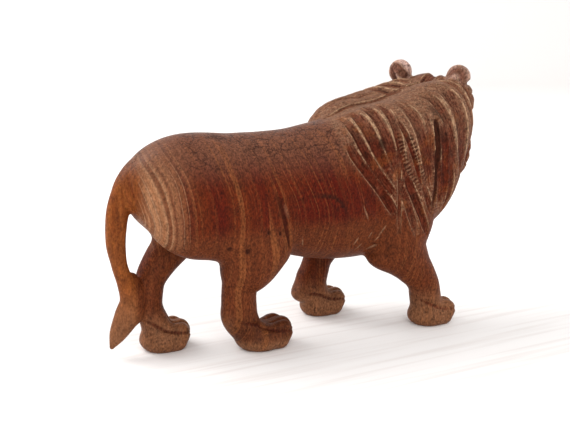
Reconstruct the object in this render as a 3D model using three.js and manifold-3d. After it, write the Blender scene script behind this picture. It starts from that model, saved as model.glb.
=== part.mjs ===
// A striding lion carved from one block of reddish-brown wood, in millimetres.
// X runs forward, Y to the lion's left and Z up. The head is turned to the left, the four soles are flat,
// and the tail hangs down to join the left hind shank. The origin is the middle of the footprint's box.
// The body is a blend of round limbs and lumps. The mane, the toes and the face are gouge strokes cut into it.

import * as THREE from "three";
import { mergeVertices } from "three/addons/utils/BufferGeometryUtils.js";
import Module from "manifold-3d";

// Driving sizes.
const boxMiddle = { x: 55.8, y: 3.3 };  // the box's middle, measured from between the hind soles
const hindStance = 10;                  // from the middle line to a hind paw
const foreStance = 19;                  // from the middle line to a fore paw
const headCentre = [128.5, 11, 104];
const headYaw = 30;                     // degrees to the lion's left
const earSpread = 16.2;                 // from the middle of the head to an ear
const earRise = 19;
const headRoll = 0.06;                  // the left ear stands this much higher per unit of spread
const neckAxis = { rear: [56, 0, 78], front: [122, 7, 92] };
const gaugeLength = 1.3;                // spacing of the samples that the surface is found on
const faceBudget = 9400;                // triangles kept

const degrees = Math.PI / 180;
const reach = 14;                       // a part beyond this distance leaves a sample alone
const far = 60;
const splineSteps = 5;

// Small vector helpers.
const add = (a, b, k = 1) => [a[0] + k * b[0], a[1] + k * b[1], a[2] + k * b[2]];
const dot = (a, b) => a[0] * b[0] + a[1] * b[1] + a[2] * b[2];
const cross = (a, b) => [
  a[1] * b[2] - a[2] * b[1],
  a[2] * b[0] - a[0] * b[2],
  a[0] * b[1] - a[1] * b[0],
];
const clamp = (v, lo, hi) => Math.min(Math.max(v, lo), hi);
const mix = (a, b, t) => a + (b - a) * t;

// Forward, left and up directions of something turned by yaw and pitch.
function turned(yaw, pitch = 0) {
  const cy = Math.cos(yaw * degrees);
  const sy = Math.sin(yaw * degrees);
  const cp = Math.cos(pitch * degrees);
  const sp = Math.sin(pitch * degrees);
  const forward = [cy * cp, sy * cp, sp];
  const left = [-sy, cy, 0];
  return [forward, left, cross(forward, left)];
}

// Two distances joined with a fillet of size k.
function blend(a, b, k) {
  const h = Math.max(k - Math.abs(a - b), 0) / k;
  return Math.min(a, b) - h * h * k * 0.25;
}

// An ellipsoid, as a distance with the box that holds it.
function lump(centre, radii, yaw = 0, pitch = 0) {
  const axes = turned(yaw, pitch);
  const extent = [0, 1, 2].map((i) => Math.hypot(...axes.map((axis, j) => axis[i] * radii[j])));
  const distance = (x, y, z) => {
    const p = [x - centre[0], y - centre[1], z - centre[2]];
    let near = 0;
    let slope = 0;
    for (let j = 0; j < 3; j++) {
      const q = dot(p, axes[j]) / radii[j];
      near += q * q;
      slope += (q / radii[j]) ** 2;
    }
    near = Math.sqrt(near);
    return (near * (near - 1)) / Math.max(Math.sqrt(slope), 1e-6);
  };
  return { distance, lo: add(centre, extent, -1), hi: add(centre, extent) };
}

// Catmull-Rom points through a list of stations.
function spline(stations, steps) {
  const ends = (a, b) => a.map((v, i) => 2 * v - b[i]);
  const s = [ends(stations[0], stations[1]), ...stations, ends(stations.at(-1), stations.at(-2))];
  const points = [];
  for (let i = 1; i < s.length - 2; i++) {
    for (let j = 0; j < steps; j++) {
      const t = j / steps;
      points.push(s[i].map((v, n) => 0.5 * (2 * v + (s[i + 1][n] - s[i - 1][n]) * t
        + (2 * s[i - 1][n] - 5 * v + 4 * s[i + 1][n] - s[i + 2][n]) * t * t
        + (3 * v - s[i - 1][n] - 3 * s[i + 1][n] + s[i + 2][n]) * t * t * t)));
    }
  }
  points.push(stations.at(-1));
  return points;
}

// A round limb through stations of x, y, z, radius and width across Y for each unit of height.
function limb(stations, steps = splineSteps) {
  const points = spline(stations, steps);
  const wide = points.map((p) => p[3] * Math.max(1, p[4]));
  const lo = [0, 1, 2].map((i) => Math.min(...points.map((p, n) => p[i] - wide[n])));
  const hi = [0, 1, 2].map((i) => Math.max(...points.map((p, n) => p[i] + wide[n])));
  const pieces = points.slice(1).map((b, n) => {
    const a = points[n];
    const flat = (a[4] + b[4]) / 2;
    const start = [a[0], a[1] / flat, a[2]];
    const along = [b[0] - a[0], (b[1] - a[1]) / flat, b[2] - a[2]];
    return { flat, start, along, length2: Math.max(dot(along, along), 1e-9), r0: a[3], r1: b[3] };
  });
  const distance = (x, y, z) => {
    let best = far;
    for (const c of pieces) {
      const p = [x - c.start[0], y / c.flat - c.start[1], z - c.start[2]];
      const t = clamp(dot(p, c.along) / c.length2, 0, 1);
      const q = add(p, c.along, -t);
      const d = (Math.sqrt(dot(q, q)) - mix(c.r0, c.r1, t)) * Math.min(1, c.flat);
      best = Math.min(best, d);
    }
    return best;
  };
  return { distance, lo, hi };
}

// Parts, each with its fillet, joined in order.
function join(parts) {
  const lo = [0, 1, 2].map((i) => Math.min(...parts.map(([s]) => s.lo[i])));
  const hi = [0, 1, 2].map((i) => Math.max(...parts.map(([s]) => s.hi[i])));
  const distance = (x, y, z) => {
    let d = far;
    for (const [s, k] of parts) {
      const inside = x > s.lo[0] - reach && x < s.hi[0] + reach && y > s.lo[1] - reach
        && y < s.hi[1] + reach && z > s.lo[2] - reach && z < s.hi[2] + reach;
      if (inside) d = blend(d, s.distance(x, y, z), k);
    }
    return d;
  };
  return { distance, lo, hi };
}

// A point of the head: a forward of its middle, b to its left, c up.
const headAxes = turned(headYaw);
function inHead(a, b, c) {
  return [a, b, c].reduce((p, v, i) => add(p, headAxes[i], v), headCentre);
}

function trunk() {
  const ribs = limb([[-28, 0, 79.6, 14.6, 1], [-13, 0, 77, 24.3, 0.92], [10, 0, 73.5, 26.8, 0.86],
    [38, 0, 71, 29.7, 0.8], [60, 0, 70.5, 33.2, 0.8], [86, 0, 72, 33, 0.8], [98, 0, 72, 31, 0.8]], 8);
  const belly = lump([66, 0, 50], [34, 20, 12.8], 0, -7);
  return join([[ribs, 1], [belly, 6]]);
}

// A flat-soled paw with three toes.
function paw({ heel, y, length, width, height }) {
  const pad = lump([heel + 0.42 * length, y, 0.32 * height], [0.43 * length, 0.54 * width, 0.46 * height]);
  const r = 0.24 * width;
  const toes = [-1, 0, 1].map((side) => {
    const tip = heel + (side ? 0.93 : 1) * length - r;
    const across = y + 0.26 * side * width;
    const stations = [[tip - 1.3, across, 0.3 * height, r, 1], [tip + 0.2, across, 0.92 * height - r, r, 1],
      [heel + 0.5 * length, across, 0.76 * height - r, r, 1]];
    return [limb(stations, 3), 2.4];
  });
  return join([[pad, 3], ...toes]);
}

const paws = {
  rightHind: { heel: 8.2, y: -hindStance, length: 26.8, width: 20, height: 14.2 },
  leftHind: { heel: -32.7, y: hindStance - 0.4, length: 23.8, width: 20, height: 13.8 },
  rightFore: { heel: 99.7, y: 0.3 - foreStance, length: 24.2, width: 18.4, height: 13 },
  leftFore: { heel: 58.2, y: foreStance + 0.6, length: 23.9, width: 18, height: 13.4 },
};

function rightHindLeg() {
  const y = -hindStance;
  const rump = lump([-7.5, y, 69], [27.6, 14, 23.2], 0, -10);
  const thigh = lump([13.5, y - 2.5, 57], [18.5, 11.5, 17.5], 0, 40);
  const shank = limb([[20.3, y - 2, 50, 14, 0.85], [13.7, y - 1.5, 42.6, 13.9, 0.85],
    [9.3, y - 1, 34, 9, 0.9], [8.5, y - 0.5, 28, 8.2, 0.95], [8.6, y, 22, 8.3, 1],
    [9, y, 16, 8.5, 1], [13.6, y, 7.6, 7, 1]]);
  return join([[rump, 6], [thigh, 7], [shank, 3], [paw(paws.rightHind), 3]]);
}

function leftHindLeg() {
  const y = hindStance;
  const rump = lump([-9, y + 1, 69], [24, 13.5, 20], 0, -10);
  const shank = limb([[-6.6, y + 2, 60, 13.2, 0.85], [-14, y + 1.5, 50, 9.7, 0.9],
    [-20.8, y + 1, 42.5, 8.2, 0.95], [-26.1, y + 0.5, 35, 7.1, 1], [-27.4, y, 28, 6.2, 1],
    [-27.6, y, 20, 6.2, 1], [-24.4, y, 10, 7, 1]]);
  return join([[rump, 6], [shank, 5], [paw(paws.leftHind), 3]]);
}

function rightForeLeg() {
  const y = -foreStance;
  const shoulder = lump([92, y + 5, 60], [20, 12, 26]);
  const arm = limb([[98.1, y + 4, 54, 14, 0.75], [93, y + 2.5, 43, 14.2, 0.75],
    [98.6, y + 1, 33, 10.4, 0.8], [103.5, y + 0.5, 26.5, 8.6, 0.88], [106.5, y, 20.5, 8, 0.95],
    [107.6, y, 15, 8, 1], [108.8, y, 9, 8, 1]]);
  const elbow = lump([85, y + 4, 34.8], [9.8, 8, 5.2], 0, -22);
  return join([[shoulder, 6], [arm, 2.5], [elbow, 2], [paw(paws.rightFore), 3]]);
}

function leftForeLeg() {
  const y = foreStance;
  const shoulder = lump([88, y - 5, 60], [20, 12, 24]);
  const arm = limb([[82, y - 3, 54, 13, 0.75], [73.7, y - 1.5, 42, 10.2, 0.85], [67.5, y, 31, 7.6, 0.95],
    [64.8, y, 24, 7.6, 1], [62.8, y, 17, 8.2, 1], [65.6, y, 9, 7.6, 1]]);
  const wrist = lump([58.8, y - 1, 13.8], [7.3, 7.5, 5.4], 0, 20);
  return join([[shoulder, 6], [arm, 5], [wrist, 3], [paw(paws.leftFore), 3]]);
}

// The tail hangs from the rump to a pointed tuft, and a web of wood ties it to the left shank.
function tail() {
  const cord = limb([[-22, 0, 88.5, 7, 1], [-36.4, 0, 83, 6, 1], [-41.4, 0, 75.5, 5.4, 1],
    [-44.1, 0.5, 67, 4.9, 1], [-44.7, 2, 55, 4.4, 1], [-43.2, 3, 44.5, 3.6, 1], [-40.2, 4.5, 34.8, 3.8, 1],
    [-38.2, 5.5, 26.5, 4.7, 0.95], [-39.8, 6, 19.4, 5.8, 0.85], [-44, 6, 12, 4.1, 0.8],
    [-47.3, 6, 5.9, 1.2, 0.8]]);
  const web = limb([[-36.5, 6.5, 36.6, 2.4, 1], [-34.5, 7.5, 30.5, 4, 1], [-34, 8, 25, 4.4, 1],
    [-34.5, 8, 19, 3.4, 1]]);
  return join([[cord, 2.5], [web, 4]]);
}

function mane() {
  const neck = limb([[68, 0, 75, 27, 0.88], [84, 0, 76, 31.5, 0.86], [100, 0, 78, 31.5, 0.86],
    [113, 2, 88, 28, 0.88]]);
  const rightSide = limb([[58, -7, 84.5, 13, 0.9], [70, -8.5, 89, 16.5, 0.9], [88, -9.5, 92.2, 18.5, 0.9],
    [106, -8.5, 95.2, 19.3, 0.9], [121.3, -5.5, 102, 18.5, 0.9]]);
  const leftSide = limb([[68.4, 9, 83, 12, 0.9], [73.6, 12, 93.8, 16.8, 0.9], [88, 15, 96, 18.6, 0.9],
    [102, 17, 98, 19.6, 0.9], [115, 17, 101.5, 19.3, 0.9]]);
  const breast = lump([114, -0.5, 72], [16, 20.5, 22.9], 0, -18);
  const beard = lump(inHead(3, -5.5, -20), [13, 16, 17], headYaw);
  const ruff = lump(inHead(-1, -13.3, 6.3), [12, 10.8, 11.5], headYaw);
  return join([[neck, 6], [rightSide, 8], [leftSide, 5], [breast, 8], [beard, 8], [ruff, 5]]);
}

function head() {
  const muzzle = [[...inHead(13, 0, -1), 9.8, 1], [...inHead(23, 0, -3), 8.2, 1], [...inHead(29, 0, -5), 6.8, 1]];
  const parts = [
    [lump(inHead(0.5, 0.5, 1.3), [16.5, 19.3, 18.3], headYaw), 4],
    [lump(inHead(9, 0, 3), [11.5, 12.5, 13], headYaw), 2],
    [limb(muzzle), 4],
  ];
  for (const side of [-1, 1]) {
    parts.push([lump(inHead(11, 9.5 * side, -5), [7.5, 6, 8.5], headYaw), 3]);
    parts.push([lump(inHead(26, 4.6 * side, -8.2), [7, 5.4, 6], headYaw), 2]);
    parts.push([lump(inHead(16.5, 6.6 * side, 10), [5, 5.6, 3.8], headYaw), 3]);
    parts.push([lump(inHead(18.6, 7.6 * side, 3.8), [2.6, 3, 2.4], headYaw), 0.6]);
  }
  parts.push([lump(inHead(32.5, 0, -2), [3.4, 5, 3.2], headYaw), 1.5]);
  parts.push([lump(inHead(22.5, 0, -15), [7.5, 5.6, 4.6], headYaw), 2]);
  return join(parts);
}

function ears() {
  return join([-1, 1].map((side) => {
    const spread = side * earSpread;
    return [lump(inHead(-1.6, spread, earRise + headRoll * spread), [4.2, 6.4, 6.3], headYaw), 0.5];
  }));
}

const body = join([[trunk(), 1], [rightHindLeg(), 4], [leftHindLeg(), 4], [rightForeLeg(), 3],
  [leftForeLeg(), 4], [mane(), 3], [head(), 3], [ears(), 2], [tail(), 2]]);

// Where a ray that starts inside the body leaves it.
function onBody(start, direction) {
  const step = 2;
  const at = (r) => add(start, direction, r);
  let outside = step * 2;
  while (outside < far && body.distance(...at(outside)) < 0) outside += step;
  let inside = outside - step;
  for (let i = 0; i < 10; i++) {
    const middle = (inside + outside) / 2;
    if (body.distance(...at(middle)) < 0) inside = middle;
    else outside = middle;
  }
  return at(inside);
}

// Places on the surface. Angles run down from the crest, and the right side is positive.
function neckPoint(x, angle) {
  const t = (x - neckAxis.rear[0]) / (neckAxis.front[0] - neckAxis.rear[0]);
  const a = angle * degrees;
  const start = [x, mix(neckAxis.rear[1], neckAxis.front[1], t), mix(neckAxis.rear[2], neckAxis.front[2], t)];
  return onBody(start, [0, -Math.sin(a), Math.cos(a)]);
}

function ruffPoint(forward, angle) {
  const a = angle * degrees;
  const direction = [0, 1, 2].map((i) => Math.cos(a) * headAxes[2][i] - Math.sin(a) * headAxes[1][i]);
  return onBody(inHead(forward, 0, 0), direction);
}

function breastPoint(z, angle) {
  const a = angle * degrees;
  return onBody([92, 1, z], [Math.cos(a), -Math.sin(a), 0]);
}

const facePoint = (b, c) => onBody(inHead(4, b, c), headAxes[0]);
const cheekPoint = (a, side, c) => onBody(inHead(a, 0, c), headAxes[1].map((v) => v * side));
const flankPoint = (x, z, side) => onBody([x, 0, z], [0, side, 0]);

// A gouge stroke: place(t) runs along it, and its half width and depth fall off towards its ends.
function gouge(place, count, width, depth, taper = [0.2, 0.2]) {
  const stations = [];
  for (let i = 0; i < count; i++) {
    const t = i / (count - 1);
    const ends = Math.min((t + 0.04) / taper[0], (1.04 - t) / taper[1]);
    const swell = clamp(ends, 0, 1) ** 0.6;
    stations.push({ at: place(t), width: width * (0.55 + 0.45 * swell), depth: depth * swell });
  }
  const wide = Math.max(...stations.map((s) => s.width));
  return {
    stations,
    lo: [0, 1, 2].map((i) => Math.min(...stations.map((s) => s.at[i])) - wide),
    hi: [0, 1, 2].map((i) => Math.max(...stations.map((s) => s.at[i])) + wide),
  };
}

// The near side's locks: top and foot in x and in degrees from the crest, bend, half width, depth and fade.
const nearLocks = [
  { x: [60, 83.3], angle: [53, 129], bend: 1.5, width: 2.6, depth: 1.5, fade: 0.14 },
  { x: [63.4, 81.4], angle: [22, 113], bend: 2.3, width: 2.3, depth: 1.5, fade: 0.14 },
  { x: [69.2, 81.1], angle: [20, 100], bend: 2.4, width: 3.3, depth: 1.7, fade: 0.6 },
  { x: [76.4, 82.6], angle: [19, 94], bend: 2.2, width: 3, depth: 1.5, fade: 0.3 },
  { x: [83.2, 88.5], angle: [24, 106], bend: 2.6, width: 2.3, depth: 1.4, fade: 0.5 },
  { x: [85.9, 96.7], angle: [50, 110], bend: 1.1, width: 1.7, depth: 1.8, fade: 0.3 },
  { x: [92.3, 102.5], angle: [36, 114], bend: 0.9, width: 3.8, depth: 1.1, fade: 0.3 },
  { x: [101.2, 103.2], angle: [56, 104], bend: 0.7, width: 2, depth: 0.9, fade: 0.3 },
  { x: [109.3, 114.2], angle: [70, 130], bend: 0.45, width: 3.6, depth: 1.6, fade: 0.25 },
  { x: [105.8, 120], angle: [36, 116], bend: 0.65, width: 3.2, depth: 1.5, fade: 0.7 },
  { x: [113.5, 128.3], angle: [32, 123], bend: 0.5, width: 5, depth: 1.1, fade: 0.3 },
  { x: [88.5, 103.6], angle: [102, 143], bend: 1.35, width: 2.5, depth: 1.5, fade: 0.14 },
  { x: [84.8, 96.2], angle: [104, 141], bend: 1.35, width: 2.2, depth: 0.9, fade: 0.2 },
  { x: [98.5, 107.4], angle: [114, 139], bend: 1.1, width: 2, depth: 1, fade: 0.3 },
  { x: [56.5, 80.2], angle: [70, 139], bend: 1.5, width: 2.6, depth: 0.4, fade: 0.2 },
];

// Long flutes that lean towards a seam, and one deep slot.
function nearFlutes() {
  const strokes = nearLocks.map(({ x, angle, bend, width, depth, fade }) => {
    const place = (t) => neckPoint(mix(...x, t ** bend), mix(...angle, t));
    return gouge(place, 12, width, depth, [0.24, fade]);
  });
  strokes.push(gouge((t) => neckPoint(83.3 + 3.2 * t ** 1.6, 74 + 66 * t), 8, 1.5, 1.7));
  strokes.push(gouge((t) => neckPoint(106.5 + 0.6 * t, 64 + 72 * t), 10, 2.2, 3.2, [0.15, 0.9]));
  return strokes;
}

// Locks that ring the head behind the cheeks, fewer and shallower on the near side.
function cheekLocks() {
  const strokes = [];
  for (const side of [1, -1]) {
    for (let i = side > 0 ? 3 : 1; i < 5; i++) {
      const place = (t) => {
        const angle = 22 + 128 * t;
        const drift = 10 * clamp((angle - 70) / 75, 0, 1) ** 1.5;
        return ruffPoint(-33.5 + 7.2 * i + drift, side * angle);
      };
      strokes.push(gouge(place, 13, 2.9, side > 0 ? 1.2 : 1.7, [0.12, 0.15]));
    }
  }
  return strokes;
}

// The far side: the near side's rear locks mirrored, under three soft scallops beside the crest.
function farLocks() {
  const mirrored = [...nearLocks.slice(0, 5), nearLocks[11]].map(({ x, angle, bend, width, depth, fade }) => {
    const place = (t) => neckPoint(mix(...x, t ** bend), -mix(Math.max(angle[0], 36), angle[1], t));
    return gouge(place, 12, width, depth, [0.2, fade]);
  });
  const scallops = [0, 1, 2].map((j) => {
    const place = (t) => neckPoint(94 - (34 - 6 * j) * t, -(10 + 9 * j + 10 * t));
    return gouge(place, 10, 2.6, 0.6, [0.3, 0.3]);
  });
  return [...mirrored, ...scallops];
}

// The parting that runs up the neck and over the head.
function parting() {
  return [
    gouge((t) => neckPoint(60 + 58 * t, -3 + 5 * t), 12, 1.6, 1.3, [0.2, 0.1]),
    gouge((t) => ruffPoint(-12 + 22 * t, 6), 6, 3.4, 2.2),
  ];
}

function breastLocks() {
  return [-3, -2, -1, 0, 1, 2, 3].map((j) => {
    const place = (t) => breastPoint(88 - (36 - 3.2 * Math.abs(j)) * t, 14 + j * (17 - 5 * t));
    return gouge(place, 9, 2.6, 1.4, [0.15, 0.25]);
  });
}

// Eyes, nose, mouth, the hollow of each ear, and the short locks that frame the face.
function faceCuts() {
  const strokes = [gouge((t) => facePoint(0, -5.5 - 5 * t), 5, 1.3, 1.2)];
  for (const side of [-1, 1]) {
    for (const lid of [1, -1]) {
      const arch = (t) => facePoint(side * (4 + 7.2 * t), 3.2 + 1.2 * t + lid * 2.9 * Math.sin(Math.PI * t));
      strokes.push(gouge(arch, 8, 1.3, 1.1));
    }
    strokes.push(gouge((t) => facePoint(side * (5.4 - 3.6 * t), -0.5 - 4.6 * t), 5, 1.2, 1));
    strokes.push(gouge((t) => facePoint(side * 7 * t, -10.6 - 1.4 * Math.sin(Math.PI * t)), 6, 1.3, 1.3));
    strokes.push(gouge((t) => cheekPoint(27 - 10 * t, side, -11.5 + 1.5 * t), 6, 1.3, 1.3));
    strokes.push(gouge((t) => ruffPoint(8.5, side * (34 + 112 * t)), 13, 2.6, 1.9));
    for (let i = 0; i < 6; i++) {
      const angle = 48 + 17 * i;
      const nick = (t) => ruffPoint(6 - 8.5 * t, side * (angle + 9 * t));
      strokes.push(gouge(nick, 5, 2, 1.4));
    }
    const spread = side * earSpread;
    const rise = earRise + headRoll * spread;
    const hollow = (t) => onBody(inHead(-1, spread, rise - 2.5 + 4.5 * t), headAxes[0]);
    strokes.push(gouge(hollow, 4, 3.4, 2.4, [0.3, 0.3]));
  }
  return strokes;
}

// The crease in front of the near thigh, one long cut with a short one beside it.
function thighCrease() {
  return [
    gouge((t) => flankPoint(mix(21, 31, t ** 0.8), mix(77, 47, t), -1), 9, 2.2, 0.9),
    gouge((t) => flankPoint(mix(23.8, 29, t), mix(74, 60, t), -1), 5, 1.9, 0.8),
  ];
}

// Two cuts part the toes of each paw.
function toeCuts() {
  return Object.values(paws).flatMap(({ heel, y, length, width }) => [-1, 1].map((side) => {
    const place = (t) => {
      const a = mix(105, 8, t) * degrees;
      return onBody([heel + 0.66 * length, y + 0.15 * side * width, 3], [Math.cos(a), 0, Math.sin(a)]);
    };
    return gouge(place, 7, 1.4, 1.3, [0.3, 0.1]);
  }));
}

const strokes = [...nearFlutes(), ...cheekLocks(), ...farLocks(), ...parting(), ...breastLocks(),
  ...faceCuts(), ...thighCrease(), ...toeCuts()];

// How deep the strokes cut at a point.
function carved(x, y, z) {
  let cut = 0;
  for (const s of strokes) {
    const near = x > s.lo[0] && x < s.hi[0] && y > s.lo[1] && y < s.hi[1] && z > s.lo[2] && z < s.hi[2];
    if (!near) continue;
    for (let i = 1; i < s.stations.length; i++) {
      const a = s.stations[i - 1];
      const b = s.stations[i];
      const along = add(b.at, a.at, -1);
      const p = [x - a.at[0], y - a.at[1], z - a.at[2]];
      const t = clamp(dot(p, along) / Math.max(dot(along, along), 1e-9), 0, 1);
      const q = add(p, along, -t);
      const ratio = dot(q, q) / mix(a.width, b.width, t) ** 2;
      if (ratio < 1) cut = Math.max(cut, mix(a.depth, b.depth, t) * (1 - ratio));
    }
  }
  return cut;
}

const carvingReach = 9;
function form(x, y, z) {
  const d = body.distance(x, y, z);
  return Math.abs(d) < carvingReach ? d + carved(x, y, z) : d;
}

// Samples of the form on a regular grid, found coarsely first and then finely near the surface.
function sampleGrid(lo, hi, step) {
  const coarse = 4;
  const cells = [0, 1, 2].map((i) => Math.ceil((hi[i] - lo[i]) / (step * coarse)));
  const size = cells.map((n) => n * coarse + 1);
  const index = (i, j, k) => (i * size[1] + j) * size[2] + k;
  const at = (i, j, k) => [lo[0] + i * step, lo[1] + j * step, lo[2] + k * step];
  const values = new Float64Array(size[0] * size[1] * size[2]).fill(NaN);
  const near = coarse * step * 2.4;
  for (let i = 0; i < cells[0]; i++) {
    for (let j = 0; j < cells[1]; j++) {
      for (let k = 0; k < cells[2]; k++) {
        const corner = [i * coarse, j * coarse, k * coarse];
        const middle = at(...corner.map((v) => v + coarse / 2));
        const rough = body.distance(...middle);
        for (let a = 0; a <= coarse; a++) {
          for (let b = 0; b <= coarse; b++) {
            for (let c = 0; c <= coarse; c++) {
              const n = index(corner[0] + a, corner[1] + b, corner[2] + c);
              if (Math.abs(rough) > near) values[n] = Number.isNaN(values[n]) ? rough : values[n];
              else values[n] = form(...at(corner[0] + a, corner[1] + b, corner[2] + c));
            }
          }
        }
      }
    }
  }
  return { size, index, at, values };
}

// Two inside samples that touch only across a diagonal would pinch the skin, so the fainter one is let go.
function clearPinches({ index, values }) {
  const faint = 1e-3;
  const step = [index(1, 0, 0), index(0, 1, 0), index(0, 0, 1)];
  const inside = (n) => values[n] < 0;
  let found = true;
  while (found) {
    found = false;
    for (let n = 0; n < values.length - step[0] - step[1]; n++) {
      for (const [u, w] of [[0, 1], [1, 2], [2, 0]]) {
        const [a, c] = [n, n + step[u] + step[w]];
        const [b, d] = [n + step[u], n + step[w]];
        if (inside(a) !== inside(c) || inside(b) !== inside(d) || inside(a) === inside(b)) continue;
        const [p, q] = inside(a) ? [a, c] : [b, d];
        values[values[p] > values[q] ? p : q] = faint;
        found = true;
      }
    }
  }
}

// A closed skin of quads through the cells where the form changes sign, each split in two triangles.
function skin(grid) {
  const { size, index, at, values } = grid;
  const offsets = [[0, 0, 0], [1, 0, 0], [0, 1, 0], [1, 1, 0], [0, 0, 1], [1, 0, 1], [0, 1, 1], [1, 1, 1]];
  const edges = [];
  offsets.forEach((a, m) => offsets.forEach((b, n) => {
    if (m < n && Math.abs(a[0] - b[0]) + Math.abs(a[1] - b[1]) + Math.abs(a[2] - b[2]) === 1) edges.push([m, n]);
  }));
  const vertexOf = new Int32Array(values.length).fill(-1);
  const points = [];
  for (let i = 0; i < size[0] - 1; i++) {
    for (let j = 0; j < size[1] - 1; j++) {
      for (let k = 0; k < size[2] - 1; k++) {
        const v = offsets.map((o) => values[index(i + o[0], j + o[1], k + o[2])]);
        const insides = v.filter((d) => d < 0).length;
        if (insides === 0 || insides === 8) continue;
        let sum = [0, 0, 0];
        let crossings = 0;
        for (const [m, n] of edges) {
          if (v[m] < 0 === v[n] < 0) continue;
          const t = v[m] / (v[m] - v[n]);
          sum = add(sum, offsets[m].map((o, c) => mix(o, offsets[n][c], t)));
          crossings++;
        }
        vertexOf[index(i, j, k)] = points.length;
        points.push(at(i + sum[0] / crossings, j + sum[1] / crossings, k + sum[2] / crossings));
      }
    }
  }
  const triangles = [];
  const steps = [[1, 0, 0], [0, 1, 0], [0, 0, 1]];
  for (let axis = 0; axis < 3; axis++) {
    const u = steps[(axis + 1) % 3];
    const w = steps[(axis + 2) % 3];
    const along = steps[axis];
    for (let i = 1; i < size[0] - 1; i++) {
      for (let j = 1; j < size[1] - 1; j++) {
        for (let k = 1; k < size[2] - 1; k++) {
          const inside = values[index(i, j, k)] < 0;
          if (inside === values[index(i + along[0], j + along[1], k + along[2])] < 0) continue;
          const cell = (a, b) => vertexOf[index(i - a * u[0] - b * w[0], j - a * u[1] - b * w[1],
            k - a * u[2] - b * w[2])];
          const quad = [cell(1, 1), cell(0, 1), cell(0, 0), cell(1, 0)];
          if (!inside) quad.reverse();
          triangles.push([quad[0], quad[1], quad[2]], [quad[0], quad[2], quad[3]]);
        }
      }
    }
  }
  return { points, triangles };
}

// Moves each point along the slope of the form until it lies on the surface.
function settle(points) {
  const e = 0.2;
  const longest = 0.25 * gaugeLength;
  for (let pass = 0; pass < 2; pass++) {
    for (const p of points) {
      const d = form(...p);
      const slope = [0, 1, 2].map((i) => {
        const ahead = p.map((v, n) => (n === i ? v + e : v));
        const behind = p.map((v, n) => (n === i ? v - e : v));
        return (form(...ahead) - form(...behind)) / (2 * e);
      });
      const steep = Math.max(dot(slope, slope), 0.2);
      const move = clamp(-d / steep, -longest / Math.sqrt(steep), longest / Math.sqrt(steep));
      slope.forEach((v, i) => { p[i] += v * move; });
    }
  }
}

// A symmetric 4 by 4 error form, kept as its ten numbers.
function planeError(points, triangle) {
  const [a, b, c] = triangle.map((v) => points[v]);
  const n = cross(add(b, a, -1), add(c, a, -1));
  const length = Math.hypot(...n);
  if (length < 1e-12) return new Float64Array(10);
  const [x, y, z] = n.map((v) => v / length);
  const w = -(x * a[0] + y * a[1] + z * a[2]);
  const area = length / 2;
  return Float64Array.from([x * x, x * y, x * z, x * w, y * y, y * z, y * w, z * z, z * w, w * w],
    (v) => v * area);
}

function errorAt(q, [x, y, z]) {
  return q[0] * x * x + 2 * q[1] * x * y + 2 * q[2] * x * z + 2 * q[3] * x + q[4] * y * y
    + 2 * q[5] * y * z + 2 * q[6] * y + q[7] * z * z + 2 * q[8] * z + q[9];
}

// The point of least error, or the middle of the edge where that is not well set.
function bestPoint(q, a, b) {
  const middle = a.map((v, i) => (v + b[i]) / 2);
  const m = [[q[0], q[1], q[2]], [q[1], q[4], q[5]], [q[2], q[5], q[7]]];
  const c = [cross(m[1], m[2]), cross(m[2], m[0]), cross(m[0], m[1])];
  const det = dot(m[0], c[0]);
  const size = q[0] + q[4] + q[7];
  const choices = [middle, a, b];
  if (Math.abs(det) > 1e-4 * size ** 3) {
    const r = [-q[3], -q[6], -q[8]];
    const solved = [0, 1, 2].map((i) => (c[0][i] * r[0] + c[1][i] * r[1] + c[2][i] * r[2]) / det);
    const away = Math.hypot(...add(solved, middle, -1));
    if (away < 2 * Math.hypot(...add(a, b, -1))) return solved;
  }
  return choices.sort((p, s) => errorAt(q, p) - errorAt(q, s))[0];
}

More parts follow.
